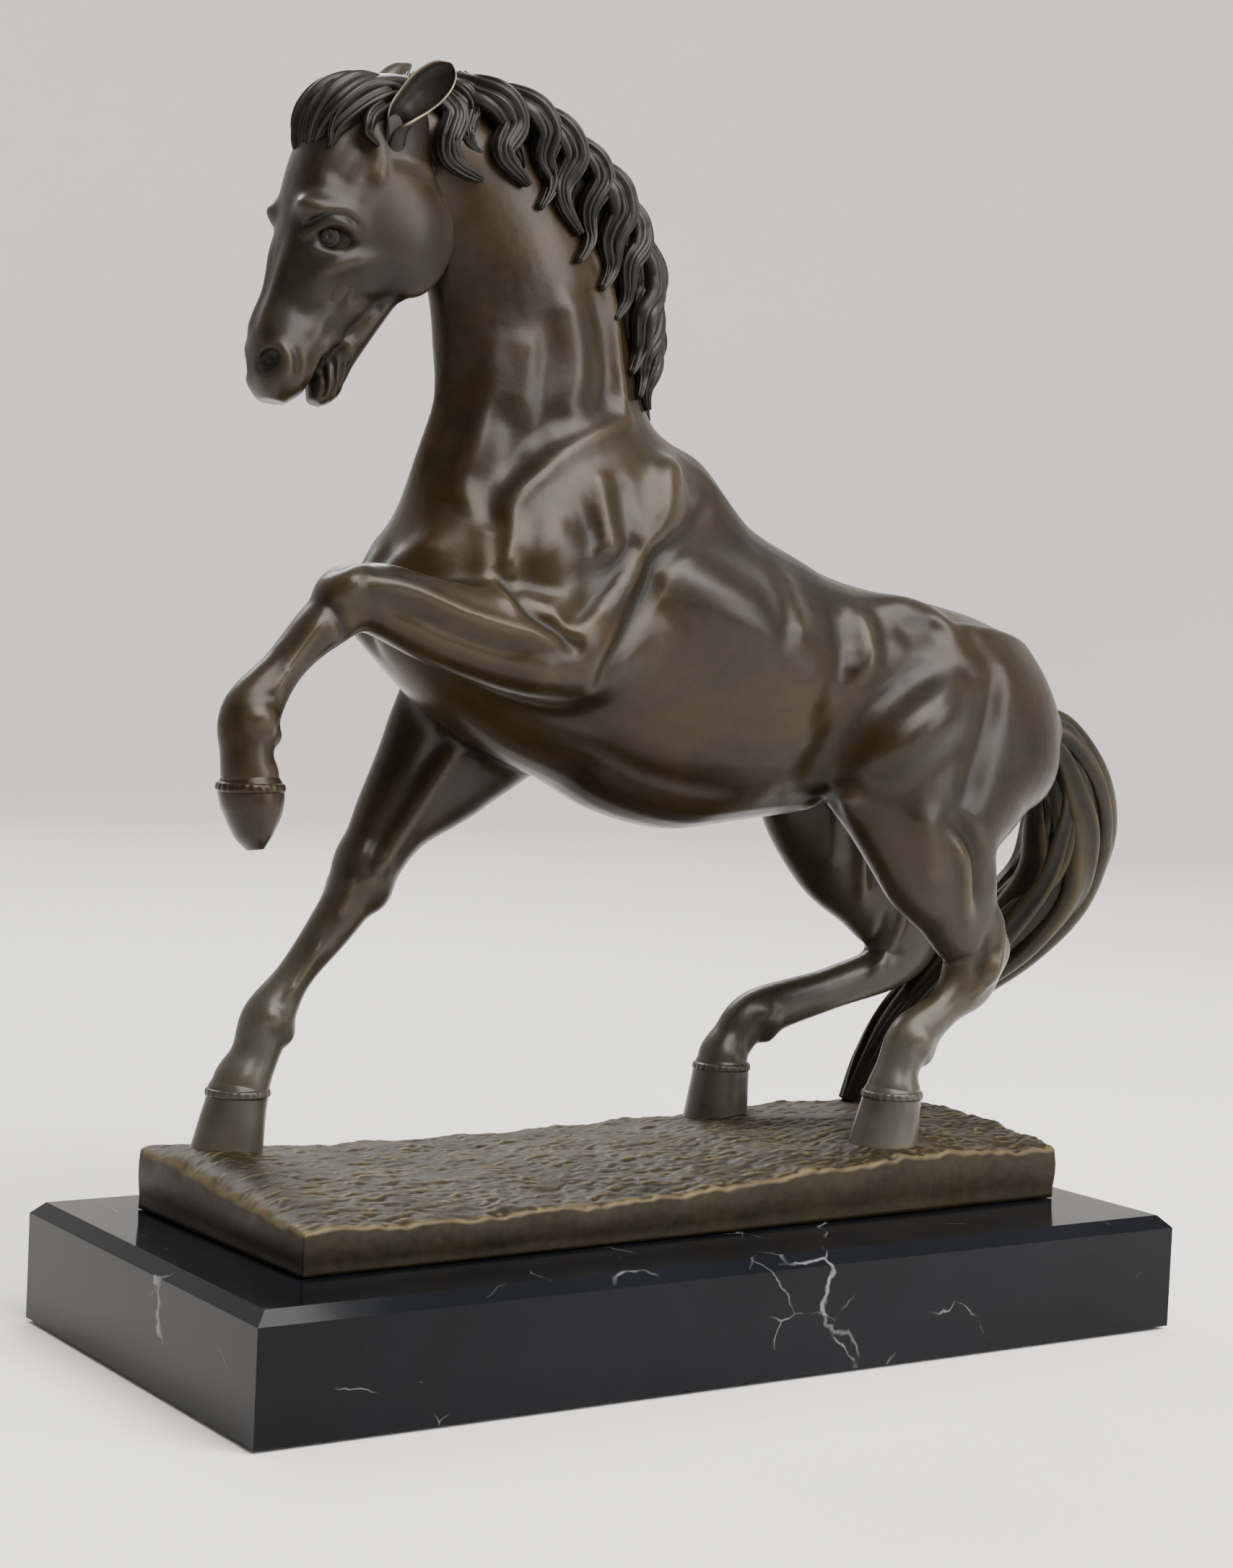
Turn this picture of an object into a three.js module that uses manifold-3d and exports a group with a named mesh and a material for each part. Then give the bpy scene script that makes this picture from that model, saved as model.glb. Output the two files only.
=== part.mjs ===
// Bronze statuette of a horse pawing the air, on a cast ground and a polished stone slab.
// Millimetres, +Z up. The origin is the middle of the underside, the horse faces -X and its left side is -Y.
//
// The horse is cast in sections that meet at flat, dressed joints. Each section is a loft: a list of stations
// down a spine, each an oval with its own height, breadth and depth.
import * as THREE from "three";
import { mergeVertices } from "three/addons/utils/BufferGeometryUtils.js";
import Module from "manifold-3d";

// ---------------------------------------------------------------- driving dimensions
const GAP = 0.3; // clearance left wherever two pieces meet
const FELT = { length: 258, width: 117, thick: 0.7, corner: 6 };
const SLAB = { length: 266, width: 125, bottom: FELT.thick + GAP, top: 30, bevel: 3 };
const PLATE = {
  length: 229,
  width: 82,
  turn: 1.7, // degrees that the cast ground sits askew on the slab
  centre: [3, 6],
  bottom: SLAB.top + GAP,
  crown: 3.4, // how much higher the ground is between its edges than at them
  mounds: [[-100, 27, 1.6], [68, -22, 1.6], [53, 32, 0.7]], // x, y and height of the swell under each hoof
  front: [40.5, 40.2, 40.4, 41.4, 43.8, 45, 43.8], // height of the front edge, left to right
  back: [45.4, 43, 42.2, 42.4, 43, 44.2, 44.6], // height of the back edge, left to right
};
// The horse is modelled about its own median plane, then stood on the ground.
const STANCE = { scale: 1.0086, at: [3.4, 5, -1.5] };
const STUD = { spread: 140, across: 6, reach: 8 }; // the two studs that hold the casting down
const BORE = { clear: 7, counter: 18, depth: 13 };
const WASHER = { outer: 15, inner: 6.8, thick: 1.4 };
const NUT = { flats: 10, inner: 6.8, thick: 5 };

const wasm = await Module();
wasm.setup();

// ---------------------------------------------------------------- solids
// A closed geometry as a solid that can be cut and joined.
function solid(geometry) {
  const bare = geometry.index ? geometry.toNonIndexed() : geometry.clone();
  for (const name of Object.keys(bare.attributes)) {
    if (name !== "position") bare.deleteAttribute(name);
  }
  const merged = mergeVertices(bare, 1e-4);
  return new wasm.Manifold(
    new wasm.Mesh({
      numProp: 3,
      vertProperties: merged.attributes.position.array,
      triVerts: new Uint32Array(merged.index.array),
    }),
  );
}

// A solid as a geometry that a mesh can hold.
function geometryOf(made) {
  const { vertProperties, triVerts } = made.getMesh();
  return new THREE.BufferGeometry()
    .setAttribute("position", new THREE.BufferAttribute(vertProperties, 3))
    .setIndex(new THREE.BufferAttribute(triVerts, 1));
}

// The value at t between p1 and p2 of a smooth curve through four evenly spaced values.
function through(p0, p1, p2, p3, t) {
  const bend = 2 * p0 - 5 * p1 + 4 * p2 - p3;
  const twist = 3 * (p1 - p2) + p3 - p0;
  return p1 + (t / 2) * (p2 - p0 + t * (bend + t * twist));
}

// Stations smoothed to `steps` rings between each pair.
function smoothed(stations, steps) {
  const rings = [];
  const last = stations.length - 1;
  for (let i = 0; i < last; i++) {
    const near = [-1, 0, 1, 2].map((k) => stations[Math.min(Math.max(i + k, 0), last)]);
    for (let s = 0; s < steps; s++) {
      rings.push(near[1].map((_, c) => through(...near.map((p) => p[c]), s / steps)));
    }
  }
  return [...rings, stations[last]];
}

// A closed loft. A station is [x, y, z, left, side, right, fullLeft, fullRight]: the spine's point, then how far
// the surface stands off it. Left and right are the sides of the spine in a view along +Y, and side is the
// breadth along Y. Fullness 1 is an ellipse, more is squarer and less is pinched.
function loft(stations, { around = 12, steps = 2, grow = 0 } = {}) {
  const rings = smoothed(stations.map((s) => [...s, 1, 1].slice(0, 8)), steps);
  const points = [];
  const spine = rings.map(([x, y, z]) => new THREE.Vector3(x, y, z));
  rings.forEach((ring, i) => {
    const ahead = spine[Math.min(i + 1, spine.length - 1)];
    const along = ahead.clone().sub(spine[Math.max(i - 1, 0)]).normalize();
    const across = new THREE.Vector3(0, 1, 0).addScaledVector(along, -along.y).normalize();
    const out = along.clone().cross(across);
    for (let k = 0; k < around; k++) {
      const angle = (2 * Math.PI * k) / around;
      const c = Math.cos(angle);
      const s = Math.sin(angle);
      const full = 1 + (ring[c > 0 ? 6 : 7] - 1) * (2 * s * c) ** 2;
      const reach = (c > 0 ? ring[3] : ring[5]) + grow;
      const p = spine[i].clone();
      p.addScaledVector(out, c * full * reach).addScaledVector(across, s * full * (ring[4] + grow));
      points.push(p);
    }
  });
  const start = points.push(spine[0].clone()) - 1;
  const end = points.push(spine[spine.length - 1].clone()) - 1;
  const index = [];
  for (let k = 0; k < around; k++) {
    const next = (k + 1) % around;
    index.push(start, k, next);
    for (let i = 0; i + 1 < rings.length; i++) {
      const [a, b] = [i * around + k, i * around + next];
      index.push(a, a + around, b, b, a + around, b + around);
    }
    const base = (rings.length - 1) * around;
    index.push(end, base + next, base + k);
  }
  return solid(new THREE.BufferGeometry().setFromPoints(points).setIndex(index));
}

// The half of a solid that lies on the side of a plane that `normal` points to, short of it by half the gap.
function keep(made, point, normal) {
  const n = new THREE.Vector3(...normal).normalize();
  return made.trimByPlane(n.toArray(), n.dot(new THREE.Vector3(...point)) + GAP / 2);
}
const flipped = (normal) => normal.map((v) => -v);

// ---------------------------------------------------------------- the horse's stations
const BARREL = [
  [-80, 0, 184, 5, 6, 6],
  [-73, 0, 182, 15, 17, 15],
  [-60, 0, 181, 26, 23, 26],
  [-42, 0, 180, 38, 26, 35],
  [-20, 0, 178, 46, 28, 41],
  [0, 0, 174, 49, 29, 45, 0.85, 1],
  [20, 0, 170, 36, 30, 44, 0.9, 1],
  [42, 0, 166, 31, 30, 36, 0.95, 1],
  [64, 0, 166, 25, 30, 30],
  [86, 0, 166, 22, 31, 26],
  [104, 0, 163, 20, 28, 22],
  [118, 0, 157, 14, 23, 18],
  [129, 0, 152, 9, 16, 12],
  [136, 0, 150, 4, 7, 5],
];
const NECK = [
  [-30, 0, 196, 44, 25, 36],
  [-34, 0, 214, 36, 20, 34],
  [-36, 0, 232, 28, 15, 30],
  [-38, 0, 250, 27, 13, 26],
  [-44, 0, 266, 25, 12, 23],
  [-54, 0, 280, 22, 11.5, 19],
  [-66, 0, 289, 18, 11, 13],
];
const HEAD = [
  [-76, 0, 300, 5, 5, 5],
  [-79, 0, 294, 11, 11, 12],
  [-84, 0, 281, 17, 13, 18],
  [-88, 0, 267, 19, 13.5, 18],
  [-93, 0, 256, 15, 11.5, 15],
  [-98, 0, 246, 10, 9, 12],
  [-103, 0, 237, 8, 8.5, 10],
  [-106, 0, 229, 6, 8, 7.5],
  [-107, 0, 225, 3, 4.5, 3.5],
];
const LOWER_JAW = [
  [-80, 0, 252, 4, 7, 4],
  [-86, 0, 244, 4.5, 6, 4.5],
  [-91, 0, 236, 4.2, 5.5, 4.2],
  [-94, 0, 229, 3.8, 5.5, 3.6],
  [-96, 0, 225.5, 1.5, 3, 1.5],
];
const LEFT_EAR = [
  [-79, -9, 286, 4, 3.5, 4],
  [-77, -12, 293, 5, 3, 5],
  [-74.5, -14, 299, 4.5, 2.5, 4.5],
  [-71.5, -15.5, 305, 1.5, 1, 1.5],
];
const RIGHT_EAR = [
  [-77, 8, 290, 3.5, 3, 3.5],
  [-75, 9, 298, 4.5, 2.5, 4.5],
  [-71.5, 9.5, 304, 3.5, 2, 3.5],
  [-68.5, 10, 308.5, 1.2, 1, 1.2],
];
const FORELOCK = [
  [-71, 0, 301, 5, 7, 3],
  [-80, 0, 301, 6, 10, 5],
  [-90, 0, 297, 8, 12, 6],
  [-98, -1, 289, 6, 9, 5],
  [-101, -2, 280, 2, 4, 2],
];
const MANE_CREST = [
  [-67, 0, 300, 5, 7, 8],
  [-52, 0, 297, 7, 9, 11],
  [-35, 0, 288, 9, 9, 11],
  [-21, 0, 275, 9, 9, 11],
  [-14, 0, 261, 8, 8, 9],
  [-10, 0, 247, 6, 7, 8],
  [-7, 0, 236, 5, 5, 6],
  [-3, 0, 229, 2, 3, 3],
];
// The locks that fall from the crest down the near side of the neck, each root to tip.
const MANE_LOCKS = [
  [[-58, -6, 301, 4, 2.5, 4], [-57, -11, 294, 5, 3, 5], [-59, -14, 287, 4, 2.5, 4], [-61, -15.5, 280, 1.5, 1, 1.5]],
  [[-44, -6, 297, 4, 2.5, 4], [-43, -12, 290, 5, 3, 5], [-46, -15, 283, 4, 2.5, 4], [-49, -15.5, 276, 1.5, 1, 1.5]],
  [[-32, -6, 290, 4, 2.5, 4], [-30, -12, 283, 5, 3, 5], [-33, -14.5, 276, 4, 2.5, 4], [-35, -15.5, 269, 1.5, 1, 1.5]],
  [[-21, -6, 282, 4, 2.5, 4], [-19, -11, 275, 5, 3, 5], [-22, -14, 268, 4, 2.5, 4], [-25, -14.5, 261, 1.5, 1, 1.5]],
  [[-13, -5, 270, 4, 2.5, 4], [-12, -10, 262, 4.5, 3, 4.5], [-15, -12.5, 255, 4, 2.5, 4], [-17, -13.5, 247, 1.5, 1, 1.5]],
];

// Limbs run from inside the trunk to the coronet.
const LEFT_HIND = [
  [90, -13, 178, 24, 12, 34],
  [84, -18, 162, 38, 14, 44],
  [78, -22, 145, 42, 14, 44],
  [74, -25, 132, 28, 12, 31],
  [77, -26, 120, 21, 10, 23],
  [84, -26, 109, 14, 8, 16],
  [92.5, -25.5, 98, 10, 6.5, 12],
  [90, -25.5, 89, 8.5, 5.5, 9],
  [82, -26, 81.7, 5, 4.2, 5.5],
  [72, -26, 74.5, 6.5, 5.5, 7],
  [68, -26, 66.5, 5, 5.5, 6.5],
  [66.7, -26, 61.4, 7, 7, 8],
];
const RIGHT_HIND = [
  [96, 13, 176, 24, 12, 34],
  [92, 18, 162, 32, 14, 42],
  [86, 22, 145, 34, 14, 38],
  [84, 25, 130, 25, 12, 26],
  [90, 25, 118, 19, 10, 19],
  [100, 25, 107, 12, 8, 14],
  [113, 24, 95, 8, 6.5, 14],
  [106, 24, 87, 6.5, 5.5, 7.5],
  [84, 25, 80, 4.5, 4.2, 5.5],
  [61, 27, 74, 7, 5.5, 7],
  [54, 28, 67, 6, 5.5, 6.5],
  [51, 28, 62, 8, 7, 8],
];
const LEFT_FORE = [
  [-12, -20, 176, 16, 11, 18],
  [-32, -23, 173, 14, 10, 15],
  [-52, -25, 172, 12, 9, 12],
  [-74, -25, 176, 10, 8, 10],
  [-93, -24, 181, 8, 7.5, 8],
  [-104, -24, 175, 6.5, 6, 5.5],
  [-114, -25, 165, 5, 4.5, 4.5],
  [-122, -26, 154, 7, 5.5, 7],
  [-123, -27, 145, 6, 5.5, 6],
  [-122, -27, 140, 7, 6.5, 7],
];
const RIGHT_FORE = [
  [-29.5, 18, 172, 22, 11, 24],
  [-35.5, 19, 157, 24, 11, 23],
  [-46, 21.5, 141, 17, 10, 18],
  [-58, 22, 126.8, 10, 8.5, 11],
  [-66, 22, 112.6, 7, 6.5, 7.5],
  [-74.3, 22, 101.4, 6, 5.5, 5.5],
  [-83.8, 22, 89.3, 4.7, 4.3, 4.5],
  [-90.6, 22, 79.2, 7, 5.5, 6.5],
  [-93.6, 22, 70.2, 6, 5.5, 6],
  [-96.6, 22, 63.2, 7.5, 7, 8],
];
const HOOVES = {
  left_hind_hoof: [[66.7, -26, 61.4, 7.5, 7.5, 8.5], [66, -26, 57, 8, 8, 9], [63.5, -26, 44, 10.5, 8.7, 11.5]],
  right_hind_hoof: [[51, 28, 62, 8, 7, 8], [50.5, 28, 57, 8.2, 8, 9], [49.5, 28.5, 43, 9.5, 8.7, 10]],
  right_fore_hoof: [[-96.6, 22, 63.2, 7.5, 7, 8], [-97.5, 22, 59, 7.5, 7.7, 8.5], [-100, 22, 44, 9.5, 8.7, 10.5]],
  left_fore_hoof: [[-122, -27, 140, 7.5, 7, 7.5], [-121, -27, 133, 6.5, 7.5, 6.5], [-120.5, -28, 124.5, 1.5, 5, 1.5]],
};
const TAIL = [
  [128, 0, 156, 6, 6, 6],
  [138, 0, 153, 7, 8, 8],
  [147, 1, 140, 11, 9, 12],
  [150, 3, 126, 13.5, 9.5, 14],
  [147, 6, 111, 13, 9.5, 13],
  [138, 12, 98, 12, 9, 12],
  [125, 19, 85, 9.5, 8, 9],
  [113, 27, 71, 6.5, 7, 6.5],
  [105, 31, 58, 4.5, 5, 4.5],
  [99, 32, 47, 3, 3, 3],
];

// Joints between the cast sections: a point and the way the outer section lies.
const JOINTS = {
  neck: { point: [-39, 0, 207], normal: [-0.423, 0, 0.906] },
  leftArm: { point: [-43, 0, 171], normal: [-0.72, 0, -0.69] },
  leftKnee: { point: [-97, 0, 179], normal: [-0.8, 0, -0.6] },
  rightArm: { point: [-44, 0, 146.5], normal: [-0.375, 0, -0.927] },
  rightKnee: { point: [-77, 0, 102], normal: [-0.62, 0, -0.78] },
  stifles: { point: [47, 0, 128], normal: [0.167, 0, -0.986] },
  leftHock: { point: [92, 0, 96], normal: [0, 0, -1] },
  rightHock: { point: [110, 0, 93], normal: [-0.15, 0, -0.98] },
  tail: { point: [143, 0, 104], normal: [-0.62, 0, -0.78] },
};
const beyond = (made, joint) => keep(made, joint.point, joint.normal);
const before = (made, joint) => keep(made, joint.point, flipped(joint.normal));

// ---------------------------------------------------------------- stone, ground and fixings
const studs = [-STUD.spread / 2, STUD.spread / 2];

function cylinder(radius, from, to, x, sides = 16) {
  const made = new THREE.CylinderGeometry(radius, radius, to - from, sides).rotateX(Math.PI / 2);
  return solid(made.translate(x, 0, (from + to) / 2));
}

// A block whose upper edges are chamfered.
function chamferedSlab({ length, width, bottom, top, bevel }) {
  let made = solid(new THREE.BoxGeometry(length, width, top - bottom).translate(0, 0, (top + bottom) / 2));
  for (const [x, y] of [[1, 0], [-1, 0], [0, 1], [0, -1]]) {
    const edge = [(x * length) / 2, (y * width) / 2, top - bevel];
    const n = new THREE.Vector3(-x, -y, -1).normalize();
    made = made.trimByPlane(n.toArray(), n.dot(new THREE.Vector3(...edge)));
  }
  return made;
}

// The height at a fraction t of the way along a list of evenly spaced heights.
function profile(heights, t) {
  const place = Math.min(Math.max(t, 0), 1) * (heights.length - 1);
  const i = Math.min(Math.floor(place), heights.length - 2);
  const ease = (1 - Math.cos((place - i) * Math.PI)) / 2;
  return heights[i] + (heights[i + 1] - heights[i]) * ease;
}

// The cast ground: a low block with a rolling top between two uneven edges, set slightly askew.
function castGround(lift = 0) {
  const block = new THREE.BoxGeometry(PLATE.length, PLATE.width, 1, 26, 9, 1);
  const at = block.getAttribute("position");
  for (let i = 0; i < at.count; i++) {
    const [x, y] = [at.getX(i), at.getY(i)];
    const along = x / PLATE.length + 0.5;
    const across = y / PLATE.width + 0.5;
    const [front, back] = [profile(PLATE.front, along), profile(PLATE.back, along)];
    const inland = 1 - Math.exp(-(x + PLATE.length / 2) / 5);
    const rise = PLATE.crown * 4 * across * (1 - across) * inland;
    const roll = 0.25 * Math.sin(x * 0.23 + 1) + 0.2 * Math.sin(y * 0.31 + x * 0.11);
    let top = front + (back - front) * across + rise + roll + lift;
    for (const [mx, my, height] of PLATE.mounds) {
      const away = Math.hypot(x + PLATE.centre[0] - mx, y + PLATE.centre[1] - my);
      top += height * Math.exp(-((away / 12) ** 2));
    }
    at.setZ(i, at.getZ(i) > 0 ? top : PLATE.bottom);
  }
  return solid(block.rotateZ((PLATE.turn * Math.PI) / 180).translate(...PLATE.centre, 0));
}

// A thin flat sheet with round corners, lying on z = 0.
function roundedSheet({ length, width, thick, corner }) {
  const [x, y] = [length / 2, width / 2];
  const outline = new THREE.Shape();
  outline.absarc(x - corner, y - corner, corner, 0, Math.PI / 2);
  outline.absarc(corner - x, y - corner, corner, Math.PI / 2, Math.PI);
  outline.absarc(corner - x, corner - y, corner, Math.PI, 1.5 * Math.PI);
  outline.absarc(x - corner, corner - y, corner, 1.5 * Math.PI, 2 * Math.PI);
  return new THREE.ExtrudeGeometry(outline, { depth: thick, bevelEnabled: false, curveSegments: 4 });
}

function ring(outer, inner, from, to, x, sides) {
  return cylinder(outer, from, to, x, sides).subtract(cylinder(inner, from - 1, to + 1, x));
}

// ---------------------------------------------------------------- materials and assembly
const looks = {
  bronze: new THREE.MeshStandardMaterial({ color: 0x5a4a2c, roughness: 0.42, metalness: 0.9 }),
  darkBronze: new THREE.MeshStandardMaterial({ color: 0x2b2419, roughness: 0.5, metalness: 0.85 }),
  stone: new THREE.MeshStandardMaterial({ color: 0x0c0d10, roughness: 0.12, metalness: 0 }),
  steel: new THREE.MeshStandardMaterial({ color: 0x9a9a98, roughness: 0.35, metalness: 1 }),
  felt: new THREE.MeshStandardMaterial({ color: 0x16321f, roughness: 1, metalness: 0 }),
};
const statue = new THREE.Group();
const placed = (made) => made.scale(STANCE.scale).translate(STANCE.at);
function add(name, made, look) {
  const bodies = made.decompose().sort((a, b) => b.volume() - a.volume());
  const mesh = new THREE.Mesh(geometryOf(bodies[0]), looks[look]);
  mesh.name = name;
  statue.add(mesh);
}

let slab = chamferedSlab(SLAB);
let ground = castGround();
for (const x of studs) {
  slab = slab.subtract(cylinder(BORE.clear / 2, 0, SLAB.top + 1, x));
  slab = slab.subtract(cylinder(BORE.counter / 2, 0, SLAB.bottom + BORE.depth, x, 20));
  ground = ground.subtract(cylinder(STUD.across / 2 + GAP, SLAB.top, PLATE.bottom + STUD.reach, x));
}
add("marble_plinth", slab, "stone");
add("ground_plate", ground, "bronze");
add("felt_base", solid(roundedSheet(FELT)), "felt");
studs.forEach((x, i) => {
  const end = ["front", "rear"][i];
  const seat = SLAB.bottom + BORE.depth;
  const washer = [seat - GAP - WASHER.thick, seat - GAP];
  const nut = [washer[0] - GAP - NUT.thick, washer[0] - GAP];
  add(`${end}_stud`, cylinder(STUD.across / 2, nut[0] - 1.5, PLATE.bottom + STUD.reach - GAP, x), "steel");
  add(`${end}_washer`, ring(WASHER.outer / 2, WASHER.inner / 2, ...washer, x, 20), "steel");
  add(`${end}_nut`, ring(NUT.flats / Math.sqrt(3), NUT.inner / 2, ...nut, x, 6), "steel");
});

// Everything that another piece must stay clear of is lofted again, fatter by the gap.
const near = { grow: GAP };
const trunkClear = loft(BARREL, near).add(loft(NECK, near));
const headClear = loft(HEAD, near);
const groundClear = castGround(GAP);
const limbsClear = [LEFT_FORE, RIGHT_FORE, LEFT_HIND, RIGHT_HIND]
  .map((stations) => loft(stations, near))
  .reduce((made, limb) => made.add(limb));

// A cast piece of the horse, stood in its place and clear of the ground.
function addCast(name, made, look = "bronze") {
  add(name, placed(made).subtract(groundClear), look);
}

const barrel = loft(BARREL).add(loft(NECK));
const stumps = [
  before(loft(LEFT_FORE), JOINTS.leftArm),
  before(loft(RIGHT_FORE), JOINTS.rightArm),
  before(loft(LEFT_HIND), JOINTS.stifles),
  before(loft(RIGHT_HIND), JOINTS.stifles),
];
const torso = stumps.reduce((made, stump) => made.add(stump), before(barrel, JOINTS.neck));
addCast("torso", before(torso, JOINTS.neck));
addCast("neck", beyond(barrel, JOINTS.neck).subtract(headClear));
addCast("head", loft(HEAD));
addCast("lower_jaw", loft(LOWER_JAW, { around: 10 }).subtract(headClear));

// Each limb is the same loft parted at the knee or hock, and clear of the trunk it springs from.
const LIMBS = [
  ["left_forearm", "left_fore_shank", LEFT_FORE, JOINTS.leftArm, JOINTS.leftKnee],
  ["right_forearm", "right_fore_shank", RIGHT_FORE, JOINTS.rightArm, JOINTS.rightKnee],
  ["left_gaskin", "left_hind_shank", LEFT_HIND, JOINTS.stifles, JOINTS.leftHock],
  ["right_gaskin", "right_hind_shank", RIGHT_HIND, JOINTS.stifles, JOINTS.rightHock],
];
for (const [upper, lower, stations, top, middle] of LIMBS) {
  const limb = beyond(loft(stations), top).subtract(trunkClear);
  addCast(upper, before(limb, middle));
  addCast(lower, beyond(limb, middle));
}
for (const [name, stations] of Object.entries(HOOVES)) {
  addCast(name, loft(stations).subtract(limbsClear));
}

addCast("left_ear", loft(LEFT_EAR, { around: 10 }).subtract(headClear));
addCast("right_ear", loft(RIGHT_EAR, { around: 10 }).subtract(headClear));
const crest = loft(MANE_CREST).subtract(trunkClear).subtract(headClear);
const ears = loft(LEFT_EAR, { around: 10, grow: GAP }).add(loft(RIGHT_EAR, { around: 10, grow: GAP }));
const crestClear = loft(MANE_CREST, near);
addCast("mane_crest", crest.subtract(ears), "darkBronze");
addCast("forelock", loft(FORELOCK).subtract(headClear).subtract(crestClear).subtract(ears), "darkBronze");
MANE_LOCKS.forEach((lock, i) => {
  const clear = trunkClear.add(headClear).add(crestClear).add(ears);
  for (const [side, sign] of [["left", 1], ["right", -1]]) {
    const stations = lock.map(([x, y, z, ...radii]) => [x, y * sign, z, ...radii]);
    addCast(`${side}_mane_lock_${i + 1}`, loft(stations, { around: 8 }).subtract(clear), "darkBronze");
  }
});

const tail = loft(TAIL).subtract(trunkClear).subtract(limbsClear);
addCast("upper_tail", before(tail, JOINTS.tail), "darkBronze");
addCast("lower_tail", beyond(tail, JOINTS.tail), "darkBronze");

export default statue;
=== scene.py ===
"""A bronze horse pawing the air, on a chiselled bronze ground and a polished black marble slab.

Shapes are worked out in millimetres and become metres when a piece is made. The horse is modelled about
its own median plane, facing -X with its left side at -Y, and stood() puts it on the ground.
"""

import math

import bpy
import numpy as np
import openvdb as vdb
from mathutils import Matrix


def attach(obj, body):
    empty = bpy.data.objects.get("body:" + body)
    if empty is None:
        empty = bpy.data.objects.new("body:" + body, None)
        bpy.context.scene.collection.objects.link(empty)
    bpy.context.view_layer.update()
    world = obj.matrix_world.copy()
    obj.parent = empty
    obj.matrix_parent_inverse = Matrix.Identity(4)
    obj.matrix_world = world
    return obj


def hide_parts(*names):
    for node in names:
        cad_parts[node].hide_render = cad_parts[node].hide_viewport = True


MM = 0.001
BODY = "root"
# From the horse's own frame to the whole statuette's: how much larger, and how far moved.
STANCE_SCALE = 1.0086
STANCE_AT = np.array([3.4, 5, -1.5])
rng = np.random.default_rng(20)

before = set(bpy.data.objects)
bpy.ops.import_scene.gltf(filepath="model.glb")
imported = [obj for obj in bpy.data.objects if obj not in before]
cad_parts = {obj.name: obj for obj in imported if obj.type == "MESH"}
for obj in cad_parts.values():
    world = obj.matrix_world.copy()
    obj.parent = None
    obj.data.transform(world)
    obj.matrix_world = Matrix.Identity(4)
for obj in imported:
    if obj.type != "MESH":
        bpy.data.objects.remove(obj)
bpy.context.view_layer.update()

# The lattice steps of the body and of the head, finer in the full model.
BODY_VOXEL = 0.8
HEAD_VOXEL = 0.42


# ---------------------------------------------------------------- curves and lofts
def unit(v):
    """Vectors at length 1."""
    return v / np.maximum(np.linalg.norm(v, axis=-1, keepdims=True), 1e-9)


def ease(low, high, value):
    """0 below `low`, 1 above `high` and smooth between."""
    t = np.clip((value - low) / (high - low), 0, 1)
    return t * t * (3 - 2 * t)


def summed(ends, values, count):
    """The sum, at each of `count` points, of the rows of `values` whose end it is."""
    return np.stack([np.bincount(ends, column, count) for column in values.T], 1)


def smoothed(stations, steps):
    """The stations with `steps` rows for each gap, on a Catmull-Rom curve through them."""
    rows = np.array(stations, float)
    last = len(rows) - 1
    a, b, c, d = (rows[np.clip(np.arange(last) + k, 0, last)] for k in (-1, 0, 1, 2))
    t = (np.arange(steps) / steps)[:, None, None]
    bend = 2 * a - 5 * b + 4 * c - d
    twist = 3 * (b - c) + d - a
    made = b + t / 2 * (c - a + t * (bend + t * twist))
    return np.vstack([made.transpose(1, 0, 2).reshape(-1, rows.shape[1]), rows[-1:]])


def tube_faces(rings, around):
    """Quads of a tube of `rings` rings, and the fans that close it on two extra points."""
    k = np.arange(around)
    nxt = (k + 1) % around
    quads = [np.stack([i * around + k, (i + 1) * around + k, (i + 1) * around + nxt, i * around + nxt], 1)
             for i in range(rings - 1)]
    start, end = rings * around, rings * around + 1
    base = (rings - 1) * around
    fans = np.vstack([
        np.stack([np.full(around, start), k, nxt], 1),
        np.stack([np.full(around, end), base + nxt, base + k], 1),
    ])
    return [fans, np.vstack(quads)]


def tube(rings, ends):
    """Rings of points and the two end points that close them, as (points, [triangles, quads])."""
    return np.vstack([rings.reshape(-1, 3), ends]), tube_faces(*rings.shape[:2])


def ways_off(spine):
    """Two unit vectors at right angles to a spine at each of its points: to the right, and in its plane."""
    along = unit(np.gradient(spine, axis=0))
    across = unit(np.array([0, 1, 0]) - along * along[:, 1:2])
    return across, np.cross(along, across)


def loft(stations, around=40, steps=8, grow=0.0, lobes=None):
    """A closed loft as (points, [triangles, quads]).

    A station is [x, y, z, left, side, right, fullLeft, fullRight], in the CAD's order: the spine's point,
    how far the surface stands off it to three sides, and how full the section's corners are, if not 1.
    `lobes`(angle, share along) gives a factor on the section.
    """
    rows = smoothed([(list(s) + [1, 1])[:8] for s in stations], steps)
    spine = rows[:, :3]
    across, out = ways_off(spine)
    angle = np.linspace(0, 2 * np.pi, around, endpoint=False)[None, :]
    c, s = np.cos(angle), np.sin(angle)
    full = 1 + (np.where(c > 0, rows[:, 6:7], rows[:, 7:8]) - 1) * (2 * s * c) ** 2
    if lobes is not None:
        full = full * lobes(angle, np.linspace(0, 1, len(rows))[:, None])
    reach = np.where(c > 0, rows[:, 3:4], rows[:, 5:6]) + grow
    side = rows[:, 4:5] + grow
    rings = spine[:, None] + (c * full * reach)[..., None] * out[:, None]
    rings = rings + (s * full * side)[..., None] * across[:, None]
    return tube(rings, spine[[0, -1]])


def joined(shapes):
    """Several shapes as one."""
    points, tris, quads, base = [], [], [], 0
    for p, (t, q) in shapes:
        points.append(p)
        tris.append(t + base)
        quads.append(q + base)
        base += len(p)
    return np.vstack(points), [np.vstack(tris), np.vstack(quads)]


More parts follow.
